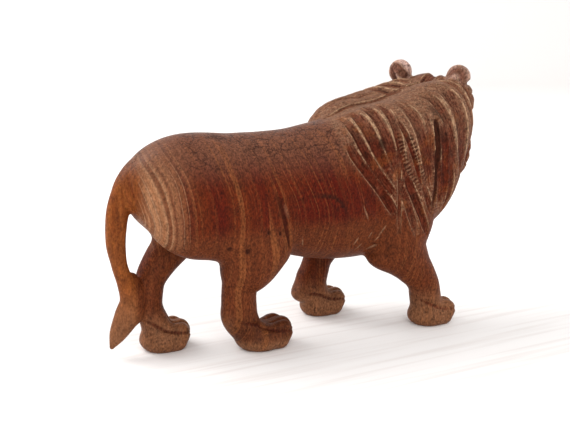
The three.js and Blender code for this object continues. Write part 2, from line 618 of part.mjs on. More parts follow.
// Collapses the edges that matter least until the budget is met.
function thin(points, triangles, budget) {
  const faces = triangles.map((t) => [...t]);
  const alive = new Uint8Array(faces.length).fill(1);
  const around = points.map(() => new Set());
  const errors = points.map(() => new Float64Array(10));
  const version = new Int32Array(points.length);
  faces.forEach((f, n) => {
    const e = planeError(points, f);
    for (const v of f) {
      around[v].add(n);
      e.forEach((value, i) => { errors[v][i] += value; });
    }
  });
  const heap = [];
  const swap = (i, j) => { [heap[i], heap[j]] = [heap[j], heap[i]]; };
  const push = (item) => {
    heap.push(item);
    let i = heap.length - 1;
    while (i && heap[(i - 1) >> 1].cost > heap[i].cost) {
      swap(i, (i - 1) >> 1);
      i = (i - 1) >> 1;
    }
  };
  const pop = () => {
    const top = heap[0];
    const last = heap.pop();
    if (!heap.length) return top;
    heap[0] = last;
    for (let i = 0; ;) {
      let least = i;
      for (const child of [2 * i + 1, 2 * i + 2]) {
        if (child < heap.length && heap[child].cost < heap[least].cost) least = child;
      }
      if (least === i) return top;
      swap(i, least);
      i = least;
    }
  };
  const neighbours = (v) => {
    const found = new Set();
    for (const n of around[v]) for (const w of faces[n]) if (w !== v) found.add(w);
    return found;
  };
  const offer = (a, b) => {
    const q = errors[a].map((v, i) => v + errors[b][i]);
    const target = bestPoint(q, points[a], points[b]);
    const span = dot(add(points[a], points[b], -1), add(points[a], points[b], -1));
    const cost = Math.max(errorAt(q, target), 0) + 1e-4 * span;
    push({ cost, a, b, target, q, va: version[a], vb: version[b] });
  };
  const turnsOver = (v, other, target) => {
    for (const n of around[v]) {
      const f = faces[n];
      if (f.includes(other)) continue;
      const before = f.map((w) => points[w]);
      const after = f.map((w) => (w === v ? target : points[w]));
      const n0 = cross(add(before[1], before[0], -1), add(before[2], before[0], -1));
      const n1 = cross(add(after[1], after[0], -1), add(after[2], after[0], -1));
      const l0 = Math.hypot(...n0);
      const l1 = Math.hypot(...n1);
      const longest = Math.max(...after.map((p, i) => Math.hypot(...add(p, after[(i + 1) % 3], -1))));
      if (dot(n0, n1) < 0.3 * l0 * l1 || l1 < 0.04 * longest * longest) return true;
    }
    return false;
  };
  faces.forEach((f) => f.forEach((a, i) => {
    const b = f[(i + 1) % 3];
    if (a < b) offer(a, b);
  }));
  let count = faces.length;
  while (count > budget && heap.length) {
    const { a, b, target, q, va, vb } = pop();
    if (version[a] !== va || version[b] !== vb) continue;
    const common = [...neighbours(a)].filter((v) => neighbours(b).has(v));
    const shared = [...around[a]].filter((n) => around[b].has(n));
    if (common.length !== 2 || shared.length !== 2) continue;
    if (turnsOver(a, b, target) || turnsOver(b, a, target)) continue;
    for (const n of shared) {
      alive[n] = 0;
      for (const v of faces[n]) around[v].delete(n);
    }
    for (const n of around[b]) {
      faces[n] = faces[n].map((v) => (v === b ? a : v));
      around[a].add(n);
    }
    around[b].clear();
    points[a] = target;
    errors[a] = q;
    version[a]++;
    version[b]++;
    count -= 2;
    for (const v of neighbours(a)) offer(a, v);
  }
  return faces.filter((f, n) => alive[n]);
}

// Cuts the soles flat.
async function cutSoles(points, triangles) {
  const wasm = await Module();
  wasm.setup();
  const solid = (vertProperties, triVerts) => new wasm.Manifold(
    new wasm.Mesh({ numProp: 3, vertProperties, triVerts }),
  );
  const whole = solid(Float32Array.from(points.flat()), Uint32Array.from(triangles.flat()));
  const depth = 40;
  const block = new THREE.BoxGeometry(400, 200, depth).translate(boxMiddle.x, 0, -depth / 2);
  block.deleteAttribute("normal");
  block.deleteAttribute("uv");
  const floor = mergeVertices(block, 1e-4);
  const cut = whole.subtract(solid(floor.attributes.position.array, new Uint32Array(floor.index.array)));
  const mesh = cut.getMesh();
  const kept = [];
  for (let i = 0; i < mesh.numVert; i++) {
    kept.push([...mesh.vertProperties.subarray(i * mesh.numProp, i * mesh.numProp + 3)]);
  }
  const faces = [];
  for (let i = 0; i < mesh.numTri; i++) faces.push([...mesh.triVerts.subarray(3 * i, 3 * i + 3)]);
  return { points: kept, triangles: faces };
}

async function carvedLionGeometry() {
  const margin = 4 * gaugeLength;
  const lo = body.lo.map((v) => v - margin);
  const hi = body.hi.map((v) => v + margin);
  const grid = sampleGrid(lo, hi, gaugeLength);
  clearPinches(grid);
  const whole = skin(grid);
  settle(whole.points);
  const { points, triangles } = await cutSoles(whole.points, whole.triangles);
  const faces = thin(points, triangles, faceBudget);
  const flatness = 0.02;
  const positions = points.flatMap(([x, y, z]) => [
    x - boxMiddle.x,
    y - boxMiddle.y,
    Math.abs(z) < flatness ? 0 : z,
  ]);
  const geometry = new THREE.BufferGeometry();
  geometry.setAttribute("position", new THREE.Float32BufferAttribute(positions, 3));
  geometry.setIndex(faces.flat());
  const flat = geometry.toNonIndexed();
  flat.computeVertexNormals();
  return flat;
}

const carvedWood = new THREE.MeshStandardMaterial({ color: 0x6c341e, roughness: 0.45, metalness: 0 });

const lion = new THREE.Mesh(await carvedLionGeometry(), carvedWood);
lion.name = "carved_lion";

const group = new THREE.Group();
group.add(lion);

export default group;
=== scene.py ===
# A striding wooden lion: the carved block in fine relief, its wood, a pale floor, soft light and a camera.
import math
import time

import bpy
import numpy as np
from mathutils import Matrix, Vector


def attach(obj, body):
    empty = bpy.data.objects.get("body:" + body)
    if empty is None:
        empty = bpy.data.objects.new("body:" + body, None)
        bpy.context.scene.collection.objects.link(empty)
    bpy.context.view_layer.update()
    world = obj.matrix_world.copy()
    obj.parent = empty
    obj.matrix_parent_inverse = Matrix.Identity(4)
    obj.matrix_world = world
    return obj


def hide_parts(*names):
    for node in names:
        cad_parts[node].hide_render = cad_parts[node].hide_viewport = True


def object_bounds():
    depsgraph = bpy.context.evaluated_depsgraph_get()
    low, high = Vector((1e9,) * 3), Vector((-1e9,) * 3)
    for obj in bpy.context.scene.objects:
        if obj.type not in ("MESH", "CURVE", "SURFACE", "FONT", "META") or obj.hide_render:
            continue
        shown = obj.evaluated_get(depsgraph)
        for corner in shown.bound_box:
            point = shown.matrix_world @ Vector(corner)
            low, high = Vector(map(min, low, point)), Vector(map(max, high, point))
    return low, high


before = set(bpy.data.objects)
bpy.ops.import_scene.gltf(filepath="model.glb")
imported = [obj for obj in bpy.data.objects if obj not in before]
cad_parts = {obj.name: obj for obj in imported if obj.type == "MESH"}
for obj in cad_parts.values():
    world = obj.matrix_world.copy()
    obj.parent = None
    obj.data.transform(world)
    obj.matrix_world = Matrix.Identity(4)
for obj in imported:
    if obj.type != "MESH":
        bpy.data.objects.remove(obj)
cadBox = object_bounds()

started = time.time()


def report(stage):
    print(f"{time.time() - started:6.1f} s  {stage}")


# The block is shaped in millimetres from between the hind soles: x forward, y to the lion's left, z up.
block = {
    "middle": (55.8, 3.3, 0.0),        # the part's origin, seen from there
    "hindStance": 10.0,
    "foreStance": 19.0,
    "headCentre": (128.5, 11.0, 104.0),
    "headYaw": 30.0,
    "earSpread": 16.2,
    "earRise": 19.0,
    "headRoll": 0.06,
    "neckRear": (56.0, 0.0, 78.0),
    "neckFront": (122.0, 7.0, 92.0),
    "breastAxis": (92.0, 1.0),         # x and y of the line that the breast is measured from
    "maneAxis": (2.0, 80.0),           # y and z of the line that the strokes face away from
    "grid": 0.52,                      # spacing of the samples
    "triangles": 190000,               # kept after thinning
}
reach = 14.0      # a part further off than this leaves a sample alone
far = 60.0        # stands for any distance too great to matter
metres = .001     # in a millimetre
deepest = 3.4     # no cut goes deeper
soleSlack = .05   # lower points than this lie on the floor


def mix(a, b, t):
    return a + (b - a) * t


def turned(yaw, pitch=0.0):
    y, p = math.radians(yaw), math.radians(pitch)
    forward = np.array([math.cos(y) * math.cos(p), math.sin(y) * math.cos(p), math.sin(p)])
    left = np.array([-math.sin(y), math.cos(y), 0.0])
    return np.array([forward, left, np.cross(forward, left)])


def blend(a, b, size):
    h = np.maximum(size - np.abs(a - b), 0.0) / size
    return np.minimum(a, b) - h * h * size * 0.25


class Form:
    # a distance with the box that holds it
    def __init__(self, distance, lo, hi):
        self.distance, self.lo, self.hi = distance, np.array(lo, float), np.array(hi, float)


def lump(centre, radii, yaw=0.0, pitch=0.0):
    axes, centre, radii = turned(yaw, pitch), np.array(centre, float), np.array(radii, float)
    extent = np.sqrt(((axes * radii[:, None]) ** 2).sum(0))

    def distance(p):
        q = (p - centre) @ axes.T / radii
        near = np.sqrt((q * q).sum(1))
        slope = np.sqrt(((q / radii) ** 2).sum(1))
        return near * (near - 1) / np.maximum(slope, 1e-6)
    return Form(distance, centre - extent, centre + extent)


def spline(stations, steps):
    s = np.array(stations, float)
    s = np.vstack([2 * s[0] - s[1], s, 2 * s[-1] - s[-2]])
    points = []
    for a, b, c, d in zip(s, s[1:], s[2:], s[3:]):
        for t in np.arange(steps) / steps:
            points.append(0.5 * (2 * b + (c - a) * t + (2 * a - 5 * b + 4 * c - d) * t * t
                                 + (3 * b - a - 3 * c + d) * t ** 3))
    return np.array(points + [s[-2]])


def limb(stations, steps=6):
    # stations of x, y, z, radius and width across y for each unit of height
    points = spline(stations, steps)
    wide = points[:, 3:4] * np.maximum(1, points[:, 4:5])
    flats = (points[1:, 4] + points[:-1, 4]) / 2

    def distance(p):
        best = np.full(len(p), far)
        x, y, z = p.T
        for a, b, flat in zip(points, points[1:], flats):
            ux, uy, uz = b[0] - a[0], (b[1] - a[1]) / flat, b[2] - a[2]
            px, py, pz = x - a[0], y / flat - a[1] / flat, z - a[2]
            t = np.clip((px * ux + py * uy + pz * uz) / (ux * ux + uy * uy + uz * uz), 0, 1)
            px, py, pz = px - ux * t, py - uy * t, pz - uz * t
            away = np.sqrt(px * px + py * py + pz * pz) - mix(a[3], b[3], t)
            np.minimum(best, away * min(1.0, flat), out=best)
        return best
    return Form(distance, (points[:, :3] - wide).min(0), (points[:, :3] + wide).max(0))


def join(parts):
    def distance(p):
        d = np.full(len(p), far)
        lo, hi = p.min(0), p.max(0)
        for part, size in parts:
            if (lo > part.hi + reach).any() or (hi < part.lo - reach).any():
                continue
            inside = ((p > part.lo - reach) & (p < part.hi + reach)).all(1)
            if inside.all():
                d = blend(d, part.distance(p), size)
            elif inside.any():
                d[inside] = blend(d[inside], part.distance(p[inside]), size)
        return d
    return Form(distance, np.min([f.lo for f, size in parts], 0), np.max([f.hi for f, size in parts], 0))


def chunked(field, points, size=20000):
    # near neighbours are worked out together, so that most parts can be left out of each batch
    cell = np.floor(points / 12.0).astype(np.int64)
    order = np.argsort((cell[:, 0] * 4096 + cell[:, 1]) * 4096 + cell[:, 2], kind="stable")
    out = np.empty(len(points))
    for start in range(0, len(points), size):
        rows = order[start:start + size]
        out[rows] = field(points[rows])
    return out


headAxes = turned(block["headYaw"])


def inHead(a, b, c):
    # a forward of the head's middle, b to its left, c up
    return np.array(block["headCentre"]) + np.array([a, b, c], float) @ headAxes


def trunk():
    ribs = limb([(-28, 0, 79.6, 14.6, 1), (-13, 0, 77, 24.3, .92), (10, 0, 73.5, 26.8, .86),
                 (38, 0, 71, 29.7, .8), (60, 0, 70.5, 33.2, .8), (86, 0, 72, 33, .8), (98, 0, 72, 31, .8)], 10)
    return join([(ribs, 1), (lump((66, 0, 50), (34, 20, 12.8), 0, -7), 6)])


def paw(x, y, length, width, height):
    r = .24 * width
    parts = [(lump((x + .42 * length, y, .32 * height), (.43 * length, .54 * width, .46 * height)), 3)]
    for side in (-1, 0, 1):
        tip = x + (.93 if side else 1) * length - r
        across = y + .26 * side * width
        parts.append((limb([(tip - 1.3, across, .3 * height, r, 1), (tip + .2, across, .92 * height - r, r, 1),
                            (x + .5 * length, across, .76 * height - r, r, 1)], 4), 2.4))
    return join(parts)


paws = {                               # heel, middle line, length, width and height
    "rightHind": (8.2, -block["hindStance"], 26.8, 20, 14.2),
    "leftHind": (-32.7, block["hindStance"] - .4, 23.8, 20, 13.8),
    "rightFore": (99.7, .3 - block["foreStance"], 24.2, 18.4, 13),
    "leftFore": (58.2, block["foreStance"] + .6, 23.9, 18, 13.4),
}


def hindLegs():
    y = -block["hindStance"]
    right = join([
        (lump((-7.5, y, 69), (27.6, 14, 23.2), 0, -10), 6),
        (lump((13.5, y - 2.5, 57), (18.5, 11.5, 17.5), 0, 40), 7),
        (limb([(20.3, y - 2, 50, 14, .85), (13.7, y - 1.5, 42.6, 13.9, .85), (9.3, y - 1, 34, 9, .9),
               (8.5, y - .5, 28, 8.2, .95), (8.6, y, 22, 8.3, 1), (9, y, 16, 8.5, 1), (13.6, y, 7.6, 7, 1)]), 3),
        (paw(*paws["rightHind"]), 3)])
    y = block["hindStance"]
    left = join([
        (lump((-9, y + 1, 69), (24, 13.5, 20), 0, -10), 6),
        (limb([(-6.6, y + 2, 60, 13.2, .85), (-14, y + 1.5, 50, 9.7, .9), (-20.8, y + 1, 42.5, 8.2, .95),
               (-26.1, y + .5, 35, 7.1, 1), (-27.4, y, 28, 6.2, 1), (-27.6, y, 20, 6.2, 1),
               (-24.4, y, 10, 7, 1)]), 5),
        (paw(*paws["leftHind"]), 3)])
    return [(right, 4), (left, 4)]


def foreLegs():
    y = -block["foreStance"]
    right = join([
        (lump((92, y + 5, 60), (20, 12, 26)), 6),
        (limb([(98.1, y + 4, 54, 14, .75), (93, y + 2.5, 43, 14.2, .75), (98.6, y + 1, 33, 10.4, .8),
               (103.5, y + .5, 26.5, 8.6, .88), (106.5, y, 20.5, 8, .95), (107.6, y, 15, 8, 1),
               (108.8, y, 9, 8, 1)]), 2.5),
        (lump((85, y + 4, 34.8), (9.8, 8, 5.2), 0, -22), 2), (paw(*paws["rightFore"]), 3)])
    y = block["foreStance"]
    left = join([
        (lump((88, y - 5, 60), (20, 12, 24)), 6),
        (limb([(82, y - 3, 54, 13, .75), (73.7, y - 1.5, 42, 10.2, .85), (67.5, y, 31, 7.6, .95),
               (64.8, y, 24, 7.6, 1), (62.8, y, 17, 8.2, 1), (65.6, y, 9, 7.6, 1)]), 5),
        (lump((58.8, y - 1, 13.8), (7.3, 7.5, 5.4), 0, 20), 3), (paw(*paws["leftFore"]), 3)])
    return [(right, 3), (left, 4)]


def tail():
    cord = limb([(-22, 0, 88.5, 7, 1), (-36.4, 0, 83, 6, 1), (-41.4, 0, 75.5, 5.4, 1), (-44.1, .5, 67, 4.9, 1),
                 (-44.7, 2, 55, 4.4, 1), (-43.2, 3, 44.5, 3.6, 1), (-40.2, 4.5, 34.8, 3.8, 1),
                 (-38.2, 5.5, 26.5, 4.7, .95), (-39.8, 6, 19.4, 5.8, .85), (-44, 6, 12, 4.1, .8),
                 (-47.3, 6, 5.9, 1.2, .8)])
    web = limb([(-36.5, 6.5, 36.6, 2.4, 1), (-34.5, 7.5, 30.5, 4, 1), (-34, 8, 25, 4.4, 1),
                (-34.5, 8, 19, 3.4, 1)])
    return join([(cord, 2.5), (web, 4)])


def maneForm():
    yaw = block["headYaw"]
    neck = limb([(68, 0, 75, 27, .88), (84, 0, 76, 31.5, .86), (100, 0, 78, 31.5, .86), (113, 2, 88, 28, .88)])
    rightSide = limb([(58, -7, 84.5, 13, .9), (70, -8.5, 89, 16.5, .9), (88, -9.5, 92.2, 18.5, .9),
                      (106, -8.5, 95.2, 19.3, .9), (121.3, -5.5, 102, 18.5, .9)])
    leftSide = limb([(68.4, 9, 83, 12, .9), (73.6, 12, 93.8, 16.8, .9), (88, 15, 96, 18.6, .9),
                     (102, 17, 98, 19.6, .9), (115, 17, 101.5, 19.3, .9)])
    return join([(neck, 6), (rightSide, 8), (leftSide, 5), (lump((114, -.5, 72), (16, 20.5, 22.9), 0, -18), 8),
                 (lump(inHead(3, -5.5, -20), (13, 16, 17), yaw), 8),
                 (lump(inHead(-1, -13.3, 6.3), (12, 10.8, 11.5), yaw), 5)])


def headForm():
    yaw = block["headYaw"]
    muzzle = [(*inHead(13, 0, -1), 9.8, 1), (*inHead(23, 0, -3), 8.2, 1), (*inHead(29, 0, -5), 6.8, 1)]
    parts = [(lump(inHead(.5, .5, 1.3), (16.5, 19.3, 18.3), yaw), 4),
             (lump(inHead(9, 0, 3), (11.5, 12.5, 13), yaw), 2), (limb(muzzle), 4)]
    for side in (-1, 1):
        parts += [(lump(inHead(11, 9.5 * side, -5), (7.5, 6, 8.5), yaw), 3),
                  (lump(inHead(26, 4.6 * side, -8.2), (7, 5.4, 6), yaw), 2),
                  (lump(inHead(16.5, 6.6 * side, 10), (5, 5.6, 3.8), yaw), 3),
                  (lump(inHead(18.6, 7.6 * side, 3.8), (2.6, 3, 2.4), yaw), .6)]
    parts += [(lump(inHead(32.5, 0, -2), (3.4, 5, 3.2), yaw), 1.5),
              (lump(inHead(22.5, 0, -15), (7.5, 5.6, 4.6), yaw), 2)]
    return join(parts)


def earForms():
    parts = []
    for side in (-1, 1):
        spread = side * block["earSpread"]
        at = inHead(-1.6, spread, block["earRise"] + block["headRoll"] * spread)
        parts.append((lump(at, (4.2, 6.4, 6.3), block["headYaw"]), .5))
    return join(parts)


mane, ears = maneForm(), earForms()
body = join([(trunk(), 1), *hindLegs(), *foreLegs(), (mane, 3), (headForm(), 3), (ears, 2), (tail(), 2)])


# Places on the surface, found along rays. Many rays are followed at once.
def onBody(start, direction):
    start, direction = np.atleast_2d(start).astype(float), np.atleast_2d(direction).astype(float)
    step = 2.0
    at = lambda r: start + direction * r[:, None]
    outside = np.full(max(len(start), len(direction)), step * 2)
    for _ in range(int(far / step)):
        still = body.distance(at(outside)) < 0
        if not still.any():
            break
        outside[still] += step
    inside = outside - step
    for _ in range(10):
        middle = (inside + outside) / 2
        within = body.distance(at(middle)) < 0
        inside, outside = np.where(within, middle, inside), np.where(within, outside, middle)
    return at(inside)


def neckMiddle(x):
    rear, front = np.array(block["neckRear"]), np.array(block["neckFront"])
    return mix(rear, front, ((x - rear[0]) / (front[0] - rear[0]))[:, None])


def neckPoint(x, angle):
    # angles run down from the crest, and the right side is positive
    a = np.radians(angle)
    return onBody(neckMiddle(x), np.stack([0 * a, -np.sin(a), np.cos(a)], 1))


def ruffPoint(forward, angle):
    a = np.radians(angle)[:, None]
    direction = np.cos(a) * headAxes[2] - np.sin(a) * headAxes[1]
    return onBody(np.array(block["headCentre"]) + forward[:, None] * headAxes[0], direction)


def breastPoint(z, angle):
    (x, y), a = block["breastAxis"], np.radians(angle)
    return onBody(np.stack([x + 0 * z, y + 0 * z, z], 1), np.stack([np.cos(a), -np.sin(a), 0 * a], 1))


def facePoint(b, c):
    start = np.array([inHead(4, u, v) for u, v in zip(b, c)])
    return onBody(start, np.tile(headAxes[0], (len(start), 1)))


def cheekPoint(a, side, c):
    start = np.array([inHead(u, 0, v) for u, v in zip(a, c)])
    return onBody(start, np.tile(headAxes[1] * side, (len(start), 1)))


def flankPoint(x, z, side):
    return onBody(np.stack([x, 0 * x, z], 1), np.tile([0.0, side, 0.0], (len(x), 1)))


class Gouge:
    # a stroke whose width and depth fall off towards its ends: bias moves its deepest line off the middle,
    # full makes a round bottom squarer, chatter makes it waver and dust is how much of it stays there
    def __init__(self, place, count, width, depth, taper=(.2, .2), sharp=False,
                 chatter=0.0, bias=0.0, full=1.0, dust=.5):
        t = np.linspace(0, 1, count)
        ends = np.minimum((t + .04) / taper[0], (1.04 - t) / taper[1])
        swell = np.clip(ends, 0, 1) ** .6
        self.at = place(t)
        self.width = width * (.55 + .45 * swell)
        self.depth = depth * swell
        self.sharp, self.chatter, self.bias, self.full, self.dust = sharp, chatter, bias, full, dust
        self.lo, self.hi = self.at.min(0) - width, self.at.max(0) + width
        self.run = np.concatenate([[0], np.cumsum(np.linalg.norm(np.diff(self.at, axis=0), axis=1))])

    def trace(self, p):
        # how deep it cuts at each point, how far along and how far to one side
        deep, run, across = np.zeros(len(p)), np.zeros(len(p)), np.zeros(len(p))
        for i in range(len(self.at) - 1):
            a, b = self.at[i], self.at[i + 1]
            along = b - a
            length2 = max(along @ along, 1e-9)
            q = p - a
            t = np.clip(q @ along / length2, 0, 1)
            q = q - along * t[:, None]
            width = mix(self.width[i], self.width[i + 1], t)
            sideways = np.cross(along, self.lift(i))
            side = q @ sideways / max(np.linalg.norm(sideways), 1e-6)
            pulled = side / width - self.bias
            pulled = pulled / np.where(pulled < 0, 1 + self.bias, 1 - self.bias)
            ratio = ((q * q).sum(1) - side ** 2) / width ** 2 + pulled ** 2
            shape = 1 - (np.sqrt(ratio) if self.sharp else ratio ** self.full)
            here = mix(self.depth[i], self.depth[i + 1], t)
            travelled = mix(self.run[i], self.run[i + 1], t)
            if self.chatter:
                here = here * (1 + self.chatter * np.sin(travelled * 2.9 + 2 * np.sin(travelled * .83)))
            more = here * shape > deep
            deep[more] = (here * shape)[more]
            run[more] = travelled[more]
            across[more] = side[more]
        return deep, run, across

    def rim(self, p):
        # how far off the stroke's middle each point is, 1 at its rim, and how deep the stroke is there
        least, depth = np.full(len(p), 3.0), np.zeros(len(p))
        last = len(self.at) - 2
        for i in range(last + 1):
            along = self.at[i + 1] - self.at[i]
            t = (p - self.at[i]) @ along / max(along @ along, 1e-9)
            beyond = ((t < 0) & (i == 0)) | ((t > 1) & (i == last))
            t = np.clip(t, 0, 1)
            off = np.linalg.norm(p - self.at[i] - along * t[:, None], axis=1)
            off = off / mix(self.width[i], self.width[i + 1], t)
            nearer = ~beyond & (off < least)
            least[nearer], depth[nearer] = off[nearer], mix(self.depth[i], self.depth[i + 1], t)[nearer]
        return least, depth

    def lift(self, i):
        # a direction off the surface is not needed to the degree, so away from the mane's axis will do
        out = self.at[i] - np.array([self.at[i][0], *block["maneAxis"]])
        return out / max(np.linalg.norm(out), 1e-6)

    def cut(self, p):
        return self.trace(p)[0]


# The right side's locks: top and foot as x and degrees from the crest, how late they bend, half width, depth,
# how much dust they hold and how far from the foot they start to fade.
nearLocks = [
    (60, 53, 83.3, 129, 1.5, 2.6, 1.5, .15, .14), (63.4, 22, 81.4, 113, 2.3, 2.3, 1.5, .3, .14),
    (69.2, 20, 81.1, 100, 2.4, 3.3, 1.7, .05, .6), (76.4, 19, 82.6, 94, 2.2, 3, 1.5, .4, .3),
    (83.2, 24, 88.5, 106, 2.6, 2.3, 1.4, .35, .5), (85.9, 50, 96.7, 110, 1.1, 1.6, 1.8, 0, .3),
    (92.3, 36, 102.5, 114, .9, 3.8, 1.1, .55, .3), (101.2, 56, 103.2, 104, .7, 2, .9, .5, .3),
    (109.3, 70, 114.2, 130, .45, 3.6, 1.6, .05, .25), (105.8, 36, 120, 116, .65, 3.2, 1.5, .55, .7),
    (113.5, 32, 128.3, 123, .5, 5, 1.1, .85, .3), (88.5, 102, 103.6, 143, 1.35, 2.5, 1.5, .3, .14),
    (84.8, 104, 96.2, 141, 1.35, 2.2, .9, .4, .2), (98.5, 114, 107.4, 139, 1.1, 2, 1, .5, .3),
    (56.5, 70, 80.2, 139, 1.5, 2.6, .4, .1, .2),
]


def nearFlutes():
    # long flutes that lean towards a seam, and one deep slot
    strokes = []
    for top, topAngle, foot, footAngle, late, width, depth, dust, fade in nearLocks:
        place = lambda t: neckPoint(mix(top, foot, t ** late), mix(topAngle, footAngle, t))
        strokes.append(Gouge(place, 22, width, depth, (.24, fade), chatter=.08, bias=.15, full=1.6, dust=dust))
    strokes.append(Gouge(lambda t: neckPoint(83.3 + 3.2 * t ** 1.6, 74 + 66 * t), 14, 1.2, 1.7))
    strokes.append(Gouge(lambda t: neckPoint(106.5 + .6 * t, 64 + 72 * t), 18, 2.2, 5, (.15, .9), sharp=True))
    return strokes


# Rows of short cross cuts on two ridges beside the seam: x and angle at both ends, how late each bends.
chopRows = {"rows": [(84.5, 97.3, 58, 118, 2.15), (90.6, 100.4, 67, 112, 1.4)],
            "gap": 1.9, "half width": .7, "length": 2.6}


def chops():
    rows, strokes = [], []
    for rear, front, high, low, late in chopRows["rows"]:
        row = Gouge(lambda t: neckPoint(mix(rear, front, t ** late), mix(high, low, t)), 30, 2, 1)
        rows.append(row)
        for run in np.arange(chopRows["gap"] / 2, row.run[-1], chopRows["gap"]):
            i = min(np.searchsorted(row.run, run), len(row.at) - 1) - 1
            centre = mix(row.at[i], row.at[i + 1], (run - row.run[i]) / (row.run[i + 1] - row.run[i]))
            side = np.cross(row.at[i + 1] - row.at[i], row.lift(i))
            side *= chopRows["length"] / np.linalg.norm(side)
            place = lambda t: centre + np.outer(t - .5, side)
            strokes.append(Gouge(place, 5, chopRows["half width"], 1.1, (.4, .4)))
    return rows, strokes


def cheekLocks():
    strokes = []
    for side in (1, -1):
        for i in range(3 if side > 0 else 1, 5):
            def place(t):
                angle = 22 + 128 * t
                drift = 10 * np.clip((angle - 70) / 75, 0, 1) ** 1.5
                return ruffPoint(-33.5 + 7.2 * i + drift, side * angle)
            depth = 1.2 if side > 0 else 1.7
            strokes.append(Gouge(place, 24, 2.9, depth, (.12, .15), chatter=.08, bias=.3 * side))
    return strokes


def farLocks():
    # the near side's rear locks mirrored, under three soft scallops beside the crest
    strokes = []
    for top, topAngle, foot, footAngle, late, width, depth, dust, fade in nearLocks[:5] + nearLocks[11:12]:
        place = lambda t: neckPoint(mix(top, foot, t ** late), -mix(max(topAngle, 36), footAngle, t))
        strokes.append(Gouge(place, 22, width, depth, (.2, fade), chatter=.1, bias=-.2, full=1.6))
    for j in range(3):
        place = lambda t: neckPoint(94 - (34 - 6 * j) * t, -(10 + 9 * j + 10 * t))
        strokes.append(Gouge(place, 20, 2.6, .6, (.3, .3)))
    return strokes


def parting():
    return [Gouge(lambda t: neckPoint(60 + 58 * t, -3 + 5 * t), 20, 1.6, 1.3, (.2, .1)),
            Gouge(lambda t: ruffPoint(-12 + 22 * t, 6 + 0 * t), 10, 3.4, 2.2)]


def breastLocks():
    strokes = []
    for j in range(-3, 4):
        place = lambda t: breastPoint(88 - (36 - 3.2 * abs(j)) * t, 14 + j * (17 - 5 * t))
        strokes.append(Gouge(place, 16, 2.6, 1.4, (.15, .25), chatter=.1))
    return strokes


def faceCuts():
    strokes = [Gouge(lambda t: facePoint(0 * t, -5.5 - 5 * t), 6, 1.1, 1.3, sharp=True)]
    for side in (-1, 1):
        for lid in (1, -1):
            arch = lambda t: facePoint(side * (4 + 7.2 * t), 3.2 + 1.2 * t + lid * 2.9 * np.sin(math.pi * t))
            strokes.append(Gouge(arch, 12, 1.2, 1.2))
        strokes.append(Gouge(lambda t: facePoint(side * (5.4 - 3.6 * t), -.5 - 4.6 * t), 8, 1.2, 1))
        strokes.append(Gouge(lambda t: facePoint(side * 7 * t, -10.6 - 1.4 * np.sin(math.pi * t)), 8, 1.2, 1.4))
        strokes.append(Gouge(lambda t: cheekPoint(27 - 10 * t, side, -11.5 + 1.5 * t), 8, 1.2, 1.3))
        strokes.append(Gouge(lambda t: ruffPoint(8.5 + 0 * t, side * (34 + 112 * t)), 22, 2.6, 1.9, chatter=.08))
        for i in range(6):
            nick = lambda t: ruffPoint(6 - 8.5 * t, side * (48 + 17 * i + 9 * t))
            strokes.append(Gouge(nick, 8, 2, 1.4))
        spread = side * block["earSpread"]
        rise = block["earRise"] + block["headRoll"] * spread
        rays = lambda t: np.array([inHead(-1, spread, rise - 2.5 + 4.5 * u) for u in t])
        hollow = lambda t: onBody(rays(t), np.tile(headAxes[0], (len(t), 1)))
        strokes.append(Gouge(hollow, 5, 3.4, 2.4, (.3, .3)))
    return strokes


def thighCrease():
    # the crease in front of the right thigh, and the flat that the tool left behind it
    return [Gouge(lambda t: flankPoint(mix(20.5, 31, t ** .8), mix(77, 46, t), -1), 16, 1.6, 1.2, (.3, .3)),
            Gouge(lambda t: flankPoint(mix(24.2, 29.6, t), mix(73, 60, t), -1), 8, 2, .8, (.4, .4))]


def toeCuts():
    strokes = []
    for x, y, length, width, height in paws.values():
        for side in (-1, 1):
            def place(t):
                a = np.radians(mix(105, 8, t))
                start = np.tile([x + .66 * length, y + .15 * side * width, 3.0], (len(t), 1))
                return onBody(start, np.stack([np.cos(a), 0 * a, np.sin(a)], 1))
            strokes.append(Gouge(place, 12, 1.3, 1.5, (.3, .1), sharp=True))
    return strokes


# Small cuts that only this finer skin can carry.
def ankleCreases():
    strokes = []
    for x, y, length, width, height in paws.values():
        def place(t):
            a = np.radians(mix(-150, -20, t))
            start = np.tile([x + .3 * length, y, height * 1.15], (len(t), 1))
            start[:, 2] -= .6 * height * t
            return onBody(start, np.stack([np.cos(a), np.sin(a), 0 * a], 1))
        strokes.append(Gouge(place, 14, 1.4, 1, (.3, .3), chatter=.25))
    return strokes


# x and z of both ends and the half width of each nick on the right flank, most of them above the elbow.
nickPlaces = [
    (63.4, 45.6, 65.8, 50.4, .8), (66, 42.4, 68.4, 46.6, .7), (71, 48.6, 73.2, 52.4, .7),
    (76.5, 48.4, 80.2, 55.4, .8), (72.4, 41.6, 78, 44.6, 1.5), (37, 53, 39, 47, .6),
    (64.5, 67.6, 69.4, 58, .7), (75, 46.4, 77.6, 49.4, .7),
]


def chips():
    strokes = []
    for x, z, toX, toZ, width in nickPlaces:
        place = lambda t: flankPoint(mix(x, toX, t), mix(z, toZ, t), -1)
        strokes.append(Gouge(place, 5, width, .8 * width, (.4, .2), sharp=True))
    return strokes


def tailRoot():
    # a soft groove sets the tail off from the rump, as seen from behind and to the right
    outward = np.array([-.451, -.866, .216])
    place = lambda t: onBody(np.stack([-37.2 + 3 * t * t, 0 * t, 86 - 14 * t], 1), np.tile(outward, (len(t), 1)))
    return [Gouge(place, 10, 1.8, .7, (.5, .2))]


# Small round knots: x, z and radius on the right flank.
flankKnots = [(7.6, 50.4, 1.7), (-.6, 52.3, 1.2), (17.6, 58.2, 1.3), (23.6, 57, 1.1)]


